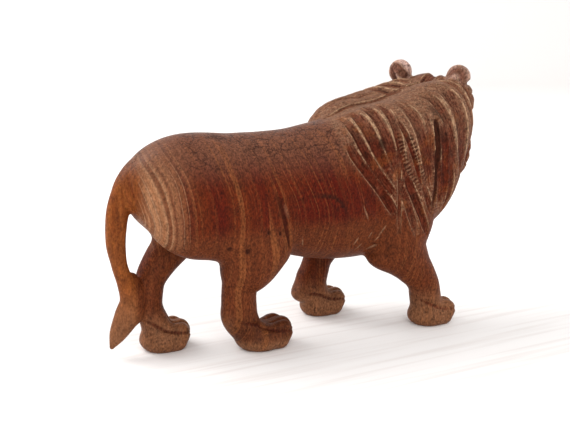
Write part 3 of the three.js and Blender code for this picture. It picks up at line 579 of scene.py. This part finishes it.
def knotPlaces():
    # the last two lie in the mane and on the left hind paw
    flank = [(flankPoint(np.array([x]), np.array([z]), -1)[0], r) for x, z, r in flankKnots]
    return [*flank, (neckPoint(np.array([76.0]), np.array([66.0]))[0], 3.0), (np.array([-21.4, 3, 8.9]), 1.6)]


def darkMarks(slot):
    # the mane's deep slot, whose darkness is painted shade, a patch behind its top and an arc over the ribs
    patch = lambda t: neckPoint(104.8 + 8.7 * t ** 1.35, 46 + 24 * t)
    arc = lambda t: flankPoint(36 + 23 * t ** .8, 72 + 3.5 * t - 17 * t ** 3, -1)
    return [slot, Gouge(patch, 12, 3, .6, (.3, .3)), Gouge(arc, 16, 1.7, .7, (.3, .3))]


locks = [*nearFlutes(), *cheekLocks(), *farLocks(), *parting(), *breastLocks()]
nicks, (rows, ticks) = chips(), chops()
crease, facet = thighCrease()
ankles = ankleCreases()
darkCreases = [crease, *ankles[:2], ankles[3]]
strokes = [*locks, *ticks, *faceCuts(), crease, facet, *toeCuts(), *ankles, *nicks, *tailRoot()]
knots = knotPlaces()
# dark marks, with painted shade in the mane's deep slot
marksAndSlotShade = darkMarks(locks[len(nearLocks) + 1])
report(f"{len(strokes)} strokes placed")


def carved(p):
    deep = np.zeros(len(p))
    lo, hi = p.min(0), p.max(0)
    for s in strokes:
        if (lo > s.hi).any() or (hi < s.lo).any():
            continue
        near = ((p > s.lo) & (p < s.hi)).all(1)
        if near.any():
            deep[near] = np.maximum(deep[near], s.cut(p[near]))
    for at, r in knots:
        deep = np.maximum(deep, .7 * (1 - ((p - at) ** 2).sum(1) / r ** 2))
    return deep


def form(p):
    return np.maximum(body.distance(p) + carved(p), -p[:, 2])


def sampleGrid(step, coarse=4):
    lo, hi = body.lo - 4 * step, body.hi + 4 * step
    cells = np.ceil((hi - lo) / (step * coarse)).astype(int)
    size = cells * coarse + 1
    axes = [lo[i] + step * coarse * (np.arange(cells[i]) + .5) for i in range(3)]
    middles = np.stack(np.meshgrid(*axes, indexing="ij"), -1).reshape(-1, 3)
    rough = chunked(body.distance, middles).reshape(cells)
    margin = step * coarse * .9
    near = (rough < margin + .6) & (rough > -margin - deepest)
    spread = lambda a: a.repeat(coarse, 0).repeat(coarse, 1).repeat(coarse, 2)
    values = np.full(size, far)
    values[:-1, :-1, :-1] = spread(rough)
    wanted = np.zeros(size, bool)
    fine = spread(near)
    for i, j, k in np.ndindex(2, 2, 2):
        wanted[i:size[0] - 1 + i, j:size[1] - 1 + j, k:size[2] - 1 + k] |= fine
    where = np.argwhere(wanted)
    values[wanted] = chunked(form, lo + step * where)
    return values, lo


def clearPinches(values):
    # two inside samples that touch only across a diagonal would pinch the skin, so the fainter is let go
    faint = 1e-3                       # just outside
    found = True
    while found:
        found = False
        for u, w in ((0, 1), (1, 2), (2, 0)):
            corner = {}
            for i, j in ((0, 0), (0, 1), (1, 0), (1, 1)):
                cut = [slice(None)] * 3
                cut[u] = slice(i, values.shape[u] - 1 + i)
                cut[w] = slice(j, values.shape[w] - 1 + j)
                corner[i, j] = values[tuple(cut)]
            sign = {key: v < 0 for key, v in corner.items()}
            crossed = (sign[0, 0] == sign[1, 1]) & (sign[0, 1] == sign[1, 0]) & (sign[0, 0] != sign[0, 1])
            if not crossed.any():
                continue
            found = True
            for one, two in (((0, 0), (1, 1)), ((0, 1), (1, 0))):
                pick = crossed & sign[one]
                first = pick & (corner[one] > corner[two])
                corner[one][first] = faint
                corner[two][pick & ~first] = faint


def skin(values, lo, step):
    # one point in each cell that the surface crosses, and a quad across each edge that it crosses
    inside = values < 0
    shape = values.shape
    corners = list(np.ndindex(2, 2, 2))
    part = lambda a, c: a[c[0]:shape[0] - 1 + c[0], c[1]:shape[1] - 1 + c[1], c[2]:shape[2] - 1 + c[2]]
    count = sum(part(inside, c).astype(np.int8) for c in corners)
    active = (count > 0) & (count < 8)
    cells = np.argwhere(active)
    number = np.full(active.shape, -1)
    number[active] = np.arange(len(cells))
    at = {c: values[cells[:, 0] + c[0], cells[:, 1] + c[1], cells[:, 2] + c[2]] for c in corners}
    total, crossings = np.zeros((len(cells), 3)), np.zeros(len(cells))
    for c in corners:
        for d in corners:
            if sum(abs(i - j) for i, j in zip(c, d)) != 1 or c > d:
                continue
            crosses = (at[c] < 0) != (at[d] < 0)
            t = np.where(crosses, at[c] / np.where(crosses, at[c] - at[d], 1), 0)
            total += np.where(crosses[:, None], np.array(c) + (np.array(d) - np.array(c)) * t[:, None], 0)
            crossings += crosses
    points = lo + step * (cells + total / crossings[:, None])
    quads = []
    for axis in range(3):
        u, w = (axis + 1) % 3, (axis + 2) % 3
        here = inside.take(range(shape[axis] - 1), axis)
        ahead = inside.take(range(1, shape[axis]), axis)
        edges = np.argwhere(here != ahead)
        a, b = edges[:, u], edges[:, w]
        edges = edges[(a > 0) & (b > 0) & (a < shape[u] - 1) & (b < shape[w] - 1)]

        def cell(back, down):
            e = edges.copy()
            e[:, u] -= back
            e[:, w] -= down
            return number[tuple(e.T)]
        quad = np.stack([cell(1, 1), cell(0, 1), cell(0, 0), cell(1, 0)], 1)
        outward = here[tuple(edges.T)]
        quad[~outward] = quad[~outward][:, ::-1]
        quads.append(quad)
    return points, np.concatenate(quads)


def settle(points, step, passes=2):
    # moves each point along the slope until it lies on the surface
    e, longest = .08, .3 * step
    for _ in range(passes):
        d = chunked(form, points)
        slope = np.stack([(chunked(form, points + e * np.eye(3)[i]) - d) / e for i in range(3)], 1)
        steep = np.maximum((slope ** 2).sum(1), .2)
        move = np.clip(-d / steep, -longest / np.sqrt(steep), longest / np.sqrt(steep))
        points = points + slope * move[:, None]
    return points


def meshFrom(name, points, faces):
    mesh = bpy.data.meshes.new(name)
    sides = faces.shape[1]
    mesh.vertices.add(len(points))
    mesh.vertices.foreach_set("co", points.astype(np.float32).ravel())
    mesh.loops.add(faces.size)
    mesh.loops.foreach_set("vertex_index", faces.astype(np.int32).ravel())
    mesh.polygons.add(len(faces))
    mesh.polygons.foreach_set("loop_start", (np.arange(len(faces)) * sides).astype(np.int32))
    mesh.update(calc_edges=True)
    return mesh


def linked(name, data):
    made = bpy.data.objects.new(name, data)
    bpy.context.scene.collection.objects.link(made)
    return made


def applied(piece):
    # the piece with its modifiers worked out, as a plain mesh
    piece.update_tag()
    seen = piece.evaluated_get(bpy.context.evaluated_depsgraph_get())
    mesh = bpy.data.meshes.new_from_object(seen)
    piece.modifiers.clear()
    old, piece.data = piece.data, mesh
    bpy.data.meshes.remove(old)
    mesh.name = piece.name


def vertices(mesh):
    points = np.empty(len(mesh.vertices) * 3, np.float32)
    mesh.vertices.foreach_get("co", points)
    return points.reshape(-1, 3).astype(float)


values, lowest = sampleGrid(block["grid"])
report("form sampled")
clearPinches(values)
points, quads = skin(values, lowest, block["grid"])
points = settle(points, block["grid"])
report(f"skin of {len(points)} points")

lion = linked("carvedLion", meshFrom("carvedLion", points, quads))
thinning = lion.modifiers.new("thinning", "DECIMATE")
thinning.ratio = min(1.0, block["triangles"] / (2 * len(quads)))
thinning.use_collapse_triangulate = True
applied(lion)
report(f"thinned to {len(lion.data.polygons)} faces")


# What the wood's colour follows is kept on the skin: the cuts, the locks' rims and runs, dark marks with painted
# shade, mane and ears.
# The mane starts at an x on the crest, and from an angle on its edge leans forward as it comes down.
maneEdge = {"crest": 57.0, "lean": 26.0, "from": 56, "over": 80, "softness": 3}
boldLock = .8     # only a lock cut deeper than this has a worn rim
lockApart = 23.0  # keeps the streaks of two locks from looking alike


def marksAndShadeMask(p):
    # dark marks, painted shade in the mane's deep slot, creases painted darker, and knots
    dark = [s.cut(p) for s in marksAndSlotShade] + [.7 * s.cut(p) for s in darkCreases]
    return np.max(dark + [np.clip(1.3 - np.linalg.norm(p - at, axis=1) / r, 0, 1) for at, r in knots], 0)


def chopMasks(p):
    # how far along the nearer row of cross cuts each point is, and how near the row's middle
    along, near = np.zeros(len(p)), np.zeros(len(p))
    for row in rows:
        deep, run, across = row.trace(p)
        better = deep > near
        along[better], near[better] = run[better], deep[better]
    return {"chopRun": along, "chopNear": near}


def lockMasks(p):
    # the run, the way across and the dust of the deepest lock, the rim of the nearest and how bold it is there
    cut, along, across, dust = (np.full(len(p), start) for start in (0.0, 0.0, 0.0, .5))
    rim, bold = np.full(len(p), 3.0), np.zeros(len(p))
    for number, lock in enumerate(locks):
        near = np.flatnonzero(((p > lock.lo - 2) & (p < lock.hi + 2)).all(1))
        if lock.depth.max() > boldLock:
            off, depth = lock.rim(p[near])
            nearer = off < rim[near]
            rim[near[nearer]], bold[near[nearer]] = off[nearer], depth[nearer] / lock.depth.max()
        deep, run, side = lock.trace(p[near])
        better = deep > cut[near]
        held = mix(.5, lock.dust, np.clip(deep / .5, 0, 1))
        for kept, value in ((cut, deep), (along, run + lockApart * number), (across, side), (dust, held)):
            kept[near[better]] = value[better]
    return {"along": along, "across": across, "dust": dust, "rim": rim, "bold": bold}


def maneCover(p, rim):
    middle = neckMiddle(p[:, 0])
    angle = np.degrees(np.abs(np.arctan2(middle[:, 1] - p[:, 1], p[:, 2] - middle[:, 2])))
    lean = np.clip((angle - maneEdge["from"]) / maneEdge["over"], 0, 1) ** 1.5
    start = maneEdge["crest"] + maneEdge["lean"] * lean
    begun = np.clip((p[:, 0] - start) / maneEdge["softness"] + .5, 0, 1)
    hair = np.clip(1.2 - chunked(lambda q: np.abs(mane.distance(q)), p) / 2, 0, 1)
    tips = np.clip((1.3 - rim) * 3, 0, 1)
    return np.maximum(hair, tips * .6) * begun


def surfaceMasks(mesh):
    p = vertices(mesh)
    masks = {"cut": chunked(carved, p), "stain": marksAndShadeMask(p), **lockMasks(p), **chopMasks(p)}
    masks["mane"] = maneCover(p, masks["rim"])
    masks["scar"] = np.max([s.cut(p) / s.depth.max() for s in nicks] + [.5 * facet.cut(p)], 0)
    masks["ear"] = np.clip(1.2 - ears.distance(p), 0, 1)
    for name, values in masks.items():
        kept = mesh.attributes.new(name, "FLOAT", "POINT")
        kept.data.foreach_set("value", values.astype(np.float32))
    return masks


def putInside(points):
    # the lion's points, none of them outside the CAD box
    points = np.clip(points, np.array(cadBox[0]), np.array(cadBox[1]))
    lion.data.vertices.foreach_set("co", points.astype(np.float32).ravel())


masks = surfaceMasks(lion.data)
report("masks " + ", ".join(f"{k} {v.min():.2f}..{v.max():.2f}" for k, v in masks.items()))

placed = (vertices(lion.data) - np.array(block["middle"])) * metres
placed[placed[:, 2] < soleSlack * metres, 2] = 0
putInside(placed)


class Shade:
    # makes nodes in one tree
    def __init__(self, tree):
        self.tree = tree

    def node(self, kind, settings=None, inputs=None, output=0):
        made = self.tree.nodes.new(kind)
        for name, value in (settings or {}).items():
            setattr(made, name, value)
        for key, value in (inputs or {}).items():
            if isinstance(value, Value):
                self.tree.links.new(value.socket, made.inputs[key])
            else:
                made.inputs[key].default_value = value
        return Value(self, made.outputs[output]) if made.outputs else None

    def scaled(self, vector, amount):
        return self.node("ShaderNodeVectorMath", {"operation": "SCALE"}, {0: vector, "Scale": amount})

    def colours(self, factor, first, second):
        return self.node("ShaderNodeMix", {"data_type": "RGBA", "clamp_factor": True},
                         {0: factor, 6: first, 7: second}, output=2)


class Value:
    # a socket that takes part in sums
    def __init__(self, shade, socket):
        self.shade, self.socket = shade, socket

    def math(self, operation, first, second=0.0):
        return self.shade.node("ShaderNodeMath", {"operation": operation}, {0: first, 1: second})

    def most(self, other): return self.math("MAXIMUM", self, other)
    def size(self): return self.math("ABSOLUTE", self)

    def __add__(self, other): return self.math("ADD", self, other)
    def __radd__(self, other): return self.math("ADD", other, self)
    def __sub__(self, other): return self.math("SUBTRACT", self, other)
    def __rsub__(self, other): return self.math("SUBTRACT", other, self)
    def __mul__(self, other): return self.math("MULTIPLY", self, other)
    def __rmul__(self, other): return self.math("MULTIPLY", other, self)
    def __truediv__(self, other): return self.math("DIVIDE", self, other)
    def __rtruediv__(self, other): return self.math("DIVIDE", other, self)

    def between(self, low, high):
        # 0 at low, 1 at high, smooth in between
        return self.shade.node("ShaderNodeMapRange", {"interpolation_type": "SMOOTHSTEP"},
                               {"Value": self, "From Min": low, "From Max": high, "To Min": 0.0, "To Max": 1.0})


class Paint:
    # a colour built up coat by coat
    def __init__(self, shade, first):
        self.shade, self.colour = shade, first

    def over(self, amount, name):
        self.colour = self.shade.colours(amount, self.colour, wood[name])


def rgb(code):
    # a colour as the eye sees it, made linear
    parts = [int(code[i:i + 2], 16) / 255 for i in (0, 2, 4)]
    return (*[c / 12.92 if c <= .04045 else ((c + .055) / 1.055) ** 2.4 for c in parts], 1.0)


wood = {
    "base": rgb("572009"),             # reddish brown heartwood
    "red": rgb("4c1104"),
    "dark": rgb("2c1107"),
    "light": rgb("8c522c"),            # thin pale layers
    "sheenAndWear": rgb("674130"),            # painted sheen, with some wear, on the greyer top
    "umber": rgb("5f3018"),            # belly and chest
    "tan": rgb("a47452"),              # rear: tan wood, lightened further as painted light from behind and to the left
    "honey": rgb("86491f"),            # tail
    "paw": rgb("7b5238"),
    "dust": rgb("a58062"),             # left by the chisel on the crests
    "dusk": rgb("66412f"),             # dust rubbed into the mane
    "pale": rgb("b08c6c"),             # worn edges of the locks
    "amber": rgb("8c4d20"),
    "groove": rgb("541c0d"),
    "ear": rgb("c2a094"),
    "upright": 46.0,                   # the height at which the layers stand upright
    "lean": .0031,                     # how fast they bend forward away from there
}
# Where its tones change, in millimetres from the part's origin: not yet at the first value, wholly at the second.
# Up and Down are heights, Ahead and Back lengths and Left widths, named for the way that the change goes.
tones = {
    # backUp marks the top, which gets painted sheen with some wear
    "backUp": (78.0, 97.0),
    "tailBack": (-90.0, -95.0),
    "rearBack": (-70.0, -91.0), "rearUp": (46.0, 60.0),           # the tan rump, partly painted light
    "farLeft": (0.0, 8.0), "farDown": (56.0, 46.0),               # the legs beyond
    "bellyDown": (64.0, 54.0), "chestAhead": (36.0, 50.0), "chestDown": (84.0, 70.0),
    "tuftDown": (36.0, 20.0), "pawsDown": (24.0, 9.0),
    "hindPawAhead": (-56.0, -50.0), "hindPawBack": (-12.0, -18.0), "hindPawUp": (3.0, 8.0),
    "hindAnkleDown": (24.0, 16.0), "farAnklesUp": (12.0, 20.0),
    # earLeft: the left ear gets more of the pale ear colour, as painted light on an ear that lies in shade
    "earLeft": (5.0, 15.0),
    "dryManeUp": (84.0, 92.0), "dustyManeUp": (92.0, 104.0), "amberDown": (112.0, 104.0),
    "shoulder": (-6.0, 69.0), "shoulderSpread": (600.0, 170.0),   # x and z, and the squares of the half sizes
}


def newMaterial(name):
    material = bpy.data.materials.new(name)
    material.use_nodes = True
    material.node_tree.nodes.clear()
    return material, Shade(material.node_tree)


def woodMaterial():
    material, shade = newMaterial("carvedWood")
    node = shade.node
    mm = shade.scaled(node("ShaderNodeTexCoord", output=3), 1 / metres)
    x, y, z = (node("ShaderNodeSeparateXYZ", None, {0: mm}, output=i) for i in range(3))
    names = ("cut", "mane", "scar", "stain", "along", "across", "dust",
             "rim", "bold", "chopRun", "chopNear", "ear")
    cut, maneMask, scar, stain, along, across, dusty, rim, bold, chopRun, chopNear, ear = (
        node("ShaderNodeAttribute", {"attribute_name": name}, output=2) for name in names)

    def noise(vector, scale, detail=2.0, rough=.5):
        return node("ShaderNodeTexNoise", None,
                    {"Vector": vector, "Scale": scale, "Detail": detail, "Roughness": rough})

    def rings(distance, scale, detail=1.0):
        return node("ShaderNodeTexNoise", {"noise_dimensions": "1D"},
                    {"W": distance, "Scale": scale, "Detail": detail})

    def point(a, b, c):
        return node("ShaderNodeCombineXYZ", None, {0: a, 1: b, 2: c})

    # growth layers: nearly upright sheets that cross the body from side to side
    warp = (noise(mm, .022, 1.0) - .5) * 14.0 + (noise(mm, .09, 1.0) - .5) * 1.2
    above = z - wood["upright"]
    layer = x + above * above * wood["lean"] + warp
    thin = (rings(layer, .2, 0.0) - .5).size()
    second = (rings(layer + 97.0, .3, 0.0) - .5).size()        # from another stretch of the noise
    patchy = noise(point(layer * .2, y * .02, z * .025), 1.0, 1.0)
    lines = (thin.between(.03, .0) * .48).most(second.between(.07, .0) * .2) * patchy.between(.4, .68)
    broadBands = rings(layer, .07, 1.0)
    softBands = rings(layer, .45, 1.0)
    mottle = noise(mm, .22, 3.0, .6)
    zones = noise(mm, .035, 2.0, .5)

    # pores run up and down
    pores = noise(point(x * 1.5, y * 1.5, z * .8), 1.0, 2.0, .7)
    flecks = noise(point(x * .75, y * .75, z * .4), 1.0, 1.0, .5)
    dusting = noise(mm, .8, 3.0, .7)

    # tones of the body
    paint = Paint(shade, shade.colours(broadBands.between(.36, .62), wood["red"], wood["base"]))
    top = z.between(*tones["backUp"]) * (1 - maneMask * .3)
    tail = x.between(*tones["tailBack"])
    rear = x.between(*tones["rearBack"]) * z.between(*tones["rearUp"]) * (1 - tail)
    farSide = y.between(*tones["farLeft"]) * z.between(*tones["farDown"])
    grain = noise(point(x * .7, y * .7, z * .05), 1.0, 2.0)
    ahead, rise = x - tones["shoulder"][0], z - tones["shoulder"][1]
    long, high = tones["shoulderSpread"]
    # a deeper red over the mid body: the wood's tone with painted shade
    paint.over((ahead * ahead / long + rise * rise / high).between(1.2, .3) * .9, "red")
    low = z.between(*tones["bellyDown"]).most(x.between(*tones["chestAhead"]) * z.between(*tones["chestDown"]))
    paint.over(low * (1 - farSide * .7) * .75, "umber")
    # the tan rear: partly the wood's tone, partly painted light from behind and to the left
    paint.over(rear * (softBands.between(.3, .7) * .55 + .42), "tan")
    paint.over(rear * second.between(.09, .0) * .35, "base")
    paint.over(rear.between(.0, .4) * thin.between(.05, .0) * .55, "pale")
    paint.over(tail * (.55 + grain.between(.4, .65) * .4), "honey")
    paint.over(tail * z.between(*tones["tuftDown"]) * .6, "paw")
    hindPaw = (x.between(*tones["hindPawAhead"]) * x.between(*tones["hindPawBack"])
               * z.between(*tones["hindPawUp"]))
    paint.over(z.between(*tones["pawsDown"]) * (.85 - hindPaw * .7), "paw")
    # darker above the near hind paw and on the far legs
    darkerLowLegs = (hindPaw * z.between(*tones["hindAnkleDown"])).most(farSide * z.between(*tones["farAnklesUp"]) * .4)
    paint.over(darkerLowLegs * .4, "dark")
    # painted sheen, with some wear, greys the top
    paint.over(top * (zones * .4 + .65), "sheenAndWear")
    # more pale colour on the left ear is painted light, since that ear lies in shade
    paint.over(ear * (y.between(*tones["earLeft"]) * .25 + .65), "ear")
    paint.over(mottle.between(.5, .75) * (.42 - top * .2 - rear * .3), "dark")
    paint.over(softBands.between(.54, .7) * .09, "light")
    paint.over(softBands.between(.46, .3) * .12, "dark")
    paint.over(lines * (1 - top * .5), "light")

    # fine dark cracks in the polish on the back
    cracked = node("ShaderNodeTexVoronoi", {"feature": "DISTANCE_TO_EDGE"},
                   {"Vector": point(x + mottle * 9.0, y + dusting * 4.0, z + zones * 8.0), "Scale": .2})
    dry = top.most(maneMask * z.between(*tones["dryManeUp"]) * cut.between(.3, .0))
    crazed = cracked.between(.075, .0) * dry * noise(mm, .06, 1.0).between(.36, .5)
    paint.over(crazed * .8, "dark")

    # the mane: cuts darkened with painted shade and streaked by the gouge, brown dust over the rest, pale crests
    streaks = noise(point(along * .12, across * 1.5, along * .02), 1.0, 2.0, .6)
    cover = dusting * .4 + streaks * .6
    worn = noise(mm, .35, 2.0, .6)
    floorOfCut = cut.between(.25, 1.0)
    land = maneMask * (1 - floorOfCut)
    patch = noise(mm, .17, 2.0)
    edge = rim.between(.88, .97) * rim.between(1.18, 1.02) * bold.between(.5, .95)
    paint.over(land * .35, "dusk")
    paint.over(floorOfCut * .85, "groove")
    # painted shade in the floor of the cuts, in patches
    paint.over(floorOfCut * patch.between(.5, .66) * .6, "dark")
    paint.over(floorOfCut * patch.between(.44, .3) * .4, "dusk")
    # painted shade streaked along the floor of the cuts and on each cut's rear wall
    paint.over(floorOfCut * (streaks.between(.56, .36) * .55 + across.between(.2, 2.0) * .3), "dark")
    paint.over(maneMask * dusty * cover.between(.4, .6), "dusk")
    paint.over(land * cover.between(.46, .62) * .2, "dust")
    scratch = noise(point(x * .2, y * 1.1, z * 1.1), 1.0, 2.0, .6)
    paint.over(land * scratch.between(.56, .68) * .5, "dark")
    paint.over(land * scratch.between(.42, .34) * .35, "dust")
    paint.over(maneMask * z.between(*tones["dustyManeUp"]) * cover.between(.36, .56) * .2, "dust")
    amber = noise(mm, .11, 2.0).between(.56, .68) * z.between(*tones["amberDown"])
    paint.over(maneMask * amber * .25, "amber")
    paint.over(edge * maneMask * worn.between(.3, .5) * .8, "pale")

    # the rows of cross cuts with painted shade in each cut, dark marks with painted shade, and bare nicks
    turns = chopRun + (mottle - .5) * 3.0
    onRow = chopNear.between(.2, .6) * worn.between(.34, .5)
    tick = node("ShaderNodeMath", {"operation": "COSINE"}, {0: turns * (2 * math.pi / chopRows["gap"])})
    # painted shade in each cross cut, paler between the cuts
    paint.over(tick.between(-.1, -.9) * onRow * .75, "dark")
    paint.over(tick.between(.1, .9) * onRow * .25, "dust")
    # dark marks and knots, painted shade in the mane's deep slot, and creases painted darker
    paint.over(stain.between(.1, .8) * .85, "dark")
    paint.over(scar.between(.2, .6) * .5, "dust")
    speckle = ((pores - .5) * 2.2 + (flecks - .5) * .9) * (1 - rear.most(tail) * .35) + 1.0
    colour = shade.scaled(paint.colour, speckle)

    rough = .5 + cut.between(.1, 1.0) * .25 - (pores - .5) * .3 + maneMask * .12 - top * .1
    height = pores * .6 + flecks * .6 - crazed * .4 + (streaks + dusting) * maneMask * 1.2
    bump = node("ShaderNodeBump", None, {"Strength": 1.0, "Distance": .00022, "Height": height})
    shader = node("ShaderNodeBsdfPrincipled", None, {
        "Base Color": colour, "Roughness": rough, "Normal": bump, "Specular IOR Level": .07})
    node("ShaderNodeOutputMaterial", None, {"Surface": shader})
    return material


carvedWood = woodMaterial()


# Small hand-tool flats over the smooth body, made with Geometry Nodes: their size in mm, their depths in metres.
toolMarks = {"Flat size": 7.0, "Flat depth": .0001, "Ripple depth": .00004, "Mane chop": .00022, "Seed": 4.0}


def toolMarkTree():
    tree = bpy.data.node_groups.new("toolMarks", "GeometryNodeTree")
    shade = Shade(tree)
    face = tree.interface
    face.new_socket("Geometry", in_out="INPUT", socket_type="NodeSocketGeometry")
    for name in toolMarks:
        face.new_socket(name, in_out="INPUT", socket_type="NodeSocketFloat")
    face.new_socket("Material", in_out="INPUT", socket_type="NodeSocketMaterial")
    face.new_socket("Geometry", in_out="OUTPUT", socket_type="NodeSocketGeometry")
    given = tree.nodes.new("NodeGroupInput").outputs
    value = lambda name: Value(shade, given[name])
    node = shade.node
    place = shade.scaled(node("GeometryNodeInputPosition"), 1 / metres / value("Flat size"))

    def noise(scale, detail):
        return node("ShaderNodeTexNoise", {"noise_dimensions": "4D"},
                    {"Vector": place, "W": value("Seed"), "Scale": scale, "Detail": detail})

    flats, ripple = noise(1.0, 0.0), noise(4.0, 2.0)
    mane = node("GeometryNodeInputNamedAttribute", {"data_type": "FLOAT"}, {"Name": "mane"})
    level = .6        # over the noise's middle, so that the flats sink more than they rise
    chop = value("Ripple depth") + mane * value("Mane chop")
    rise = (flats - level) * value("Flat depth") * 2.0 + (ripple - level) * chop * 2.0
    offset = shade.scaled(node("GeometryNodeInputNormal"), rise)
    moved = node("GeometryNodeSetPosition", None, {"Geometry": value("Geometry"), "Offset": offset})
    real = node("GeometryNodeRealizeInstances", None, {"Geometry": moved})
    done = node("GeometryNodeSetMaterial", None, {"Geometry": real, "Material": value("Material")})
    tree.links.new(done.socket, tree.nodes.new("NodeGroupOutput").inputs[0])
    return tree


marks = lion.modifiers.new("toolMarks", "NODES")
marks.node_group = toolMarkTree()
items = [item for item in marks.node_group.interface.items_tree if item.in_out == "INPUT"]
sockets = {item.name: item.identifier for item in items}
for name, amount in toolMarks.items():
    marks[sockets[name]] = amount
marks[sockets["Material"]] = carvedWood
applied(lion)

putInside(vertices(lion.data))
lion.data.polygons.foreach_set("use_smooth", np.ones(len(lion.data.polygons), bool))
lion.data.materials.clear()
lion.data.materials.append(carvedWood)
lion.data.update()
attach(lion, "root")
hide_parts("carved_lion")
report("lion in place")


# A pale floor that sweeps up behind, faintly streaked near the lion, with its sizes in metres.
studio = {
    "floor": rgb("f4f1ef"),
    "streak": rgb("eae5e2"),
    "width": 4.0,
    "front": -1.2,
    "depth": 2.2,
    "rise": 1.5,
    "bend": .5,
    "away": (.455, .890),              # level, along the view
    "streaks": (9.0, 240.0, 1.0),      # how closely they stand each way
    "streaked": (.36, .2),             # away from the lion: none past the first, full within the second
    "sky": .78,
    "aim": (0, 0, .06),                # where the lamps point
}


def studioFloor():
    bend, depth, rise, half = studio["bend"], studio["depth"], studio["rise"], studio["width"] / 2
    turn = np.linspace(0, math.pi / 2, 13)
    curve = [(depth - bend + bend * math.sin(a), bend - bend * math.cos(a)) for a in turn]
    profile = [(studio["front"], 0.0), *curve, (depth, rise)]
    away = np.array(studio["away"])
    side = np.array([away[1], -away[0]])
    points = [(*(away * run + side * s), up) for run, up in profile for s in (-half, half)]
    faces = [(2 * i, 2 * i + 1, 2 * i + 3, 2 * i + 2) for i in range(len(profile) - 1)]
    floor = linked("studioFloor", meshFrom("studioFloor", np.array(points), np.array(faces)))
    floor.data.polygons.foreach_set("use_smooth", np.ones(len(faces), bool))
    material, shade = newMaterial("paleFloor")
    node = shade.node
    place = node("ShaderNodeTexCoord", output=3)
    stretched = node("ShaderNodeVectorMath", {"operation": "MULTIPLY"}, {0: place, 1: studio["streaks"]})
    brushed = node("ShaderNodeTexNoise", None, {"Vector": stretched, "Scale": 1.0, "Detail": 2.0})
    distance = node("ShaderNodeVectorMath", {"operation": "LENGTH"}, {0: place}, output=1)
    streaked = brushed.between(.45, .7) * distance.between(*studio["streaked"])
    colour = shade.colours(streaked, studio["floor"], studio["streak"])
    shader = node("ShaderNodeBsdfPrincipled", None, {"Base Color": colour, "Roughness": .7})
    node("ShaderNodeOutputMaterial", None, {"Surface": shader})
    floor.data.materials.append(material)


studioFloor()

# The photograph's camera, in millimetres from between the hind soles.
photo = {"at": (-149.475, -359.609, 149.668), "along": (.451, .866, -.216), "focal": 870.0, "width": 570}


def addCamera():
    data = bpy.data.cameras.new("camera")
    data.lens = photo["focal"] / photo["width"] * data.sensor_width
    camera = linked("camera", data)
    along = Vector(photo["along"]).normalized()
    right = along.cross(Vector((0, 0, 1))).normalized()
    up = right.cross(along)
    camera.matrix_world = Matrix((right, up, -along)).transposed().to_4x4()
    camera.location = (Vector(photo["at"]) - Vector(block["middle"])) * metres
    data.clip_start = .01
    bpy.context.scene.camera = camera


addCamera()

lights = {                             # place, size and power
    "keyLight": ((-1.0, .9, 1.3), 1.4, 31.0),
    "frontLight": ((-.4, -1.6, 1.2), 1.6, 15.0),
    "rightLight": ((1.4, -.6, .9), 1.4, 7.0),
}


def addLights():
    for name, (place, size, power) in lights.items():
        lamp = bpy.data.lights.new(name, "AREA")
        lamp.energy, lamp.size = power, size
        light = linked(name, lamp)
        light.location = place
        light.rotation_euler = (Vector(place) - Vector(studio["aim"])).to_track_quat("Z", "Y").to_euler()
    world = bpy.data.worlds.new("studio")
    world.use_nodes = True
    sky = world.node_tree.nodes["Background"].inputs
    sky["Color"].default_value = (1, 1, 1, 1)
    sky["Strength"].default_value = studio["sky"]
    bpy.context.scene.world = world


addLights()
bpy.context.scene.view_settings.view_transform = "Standard"
report("studio set")
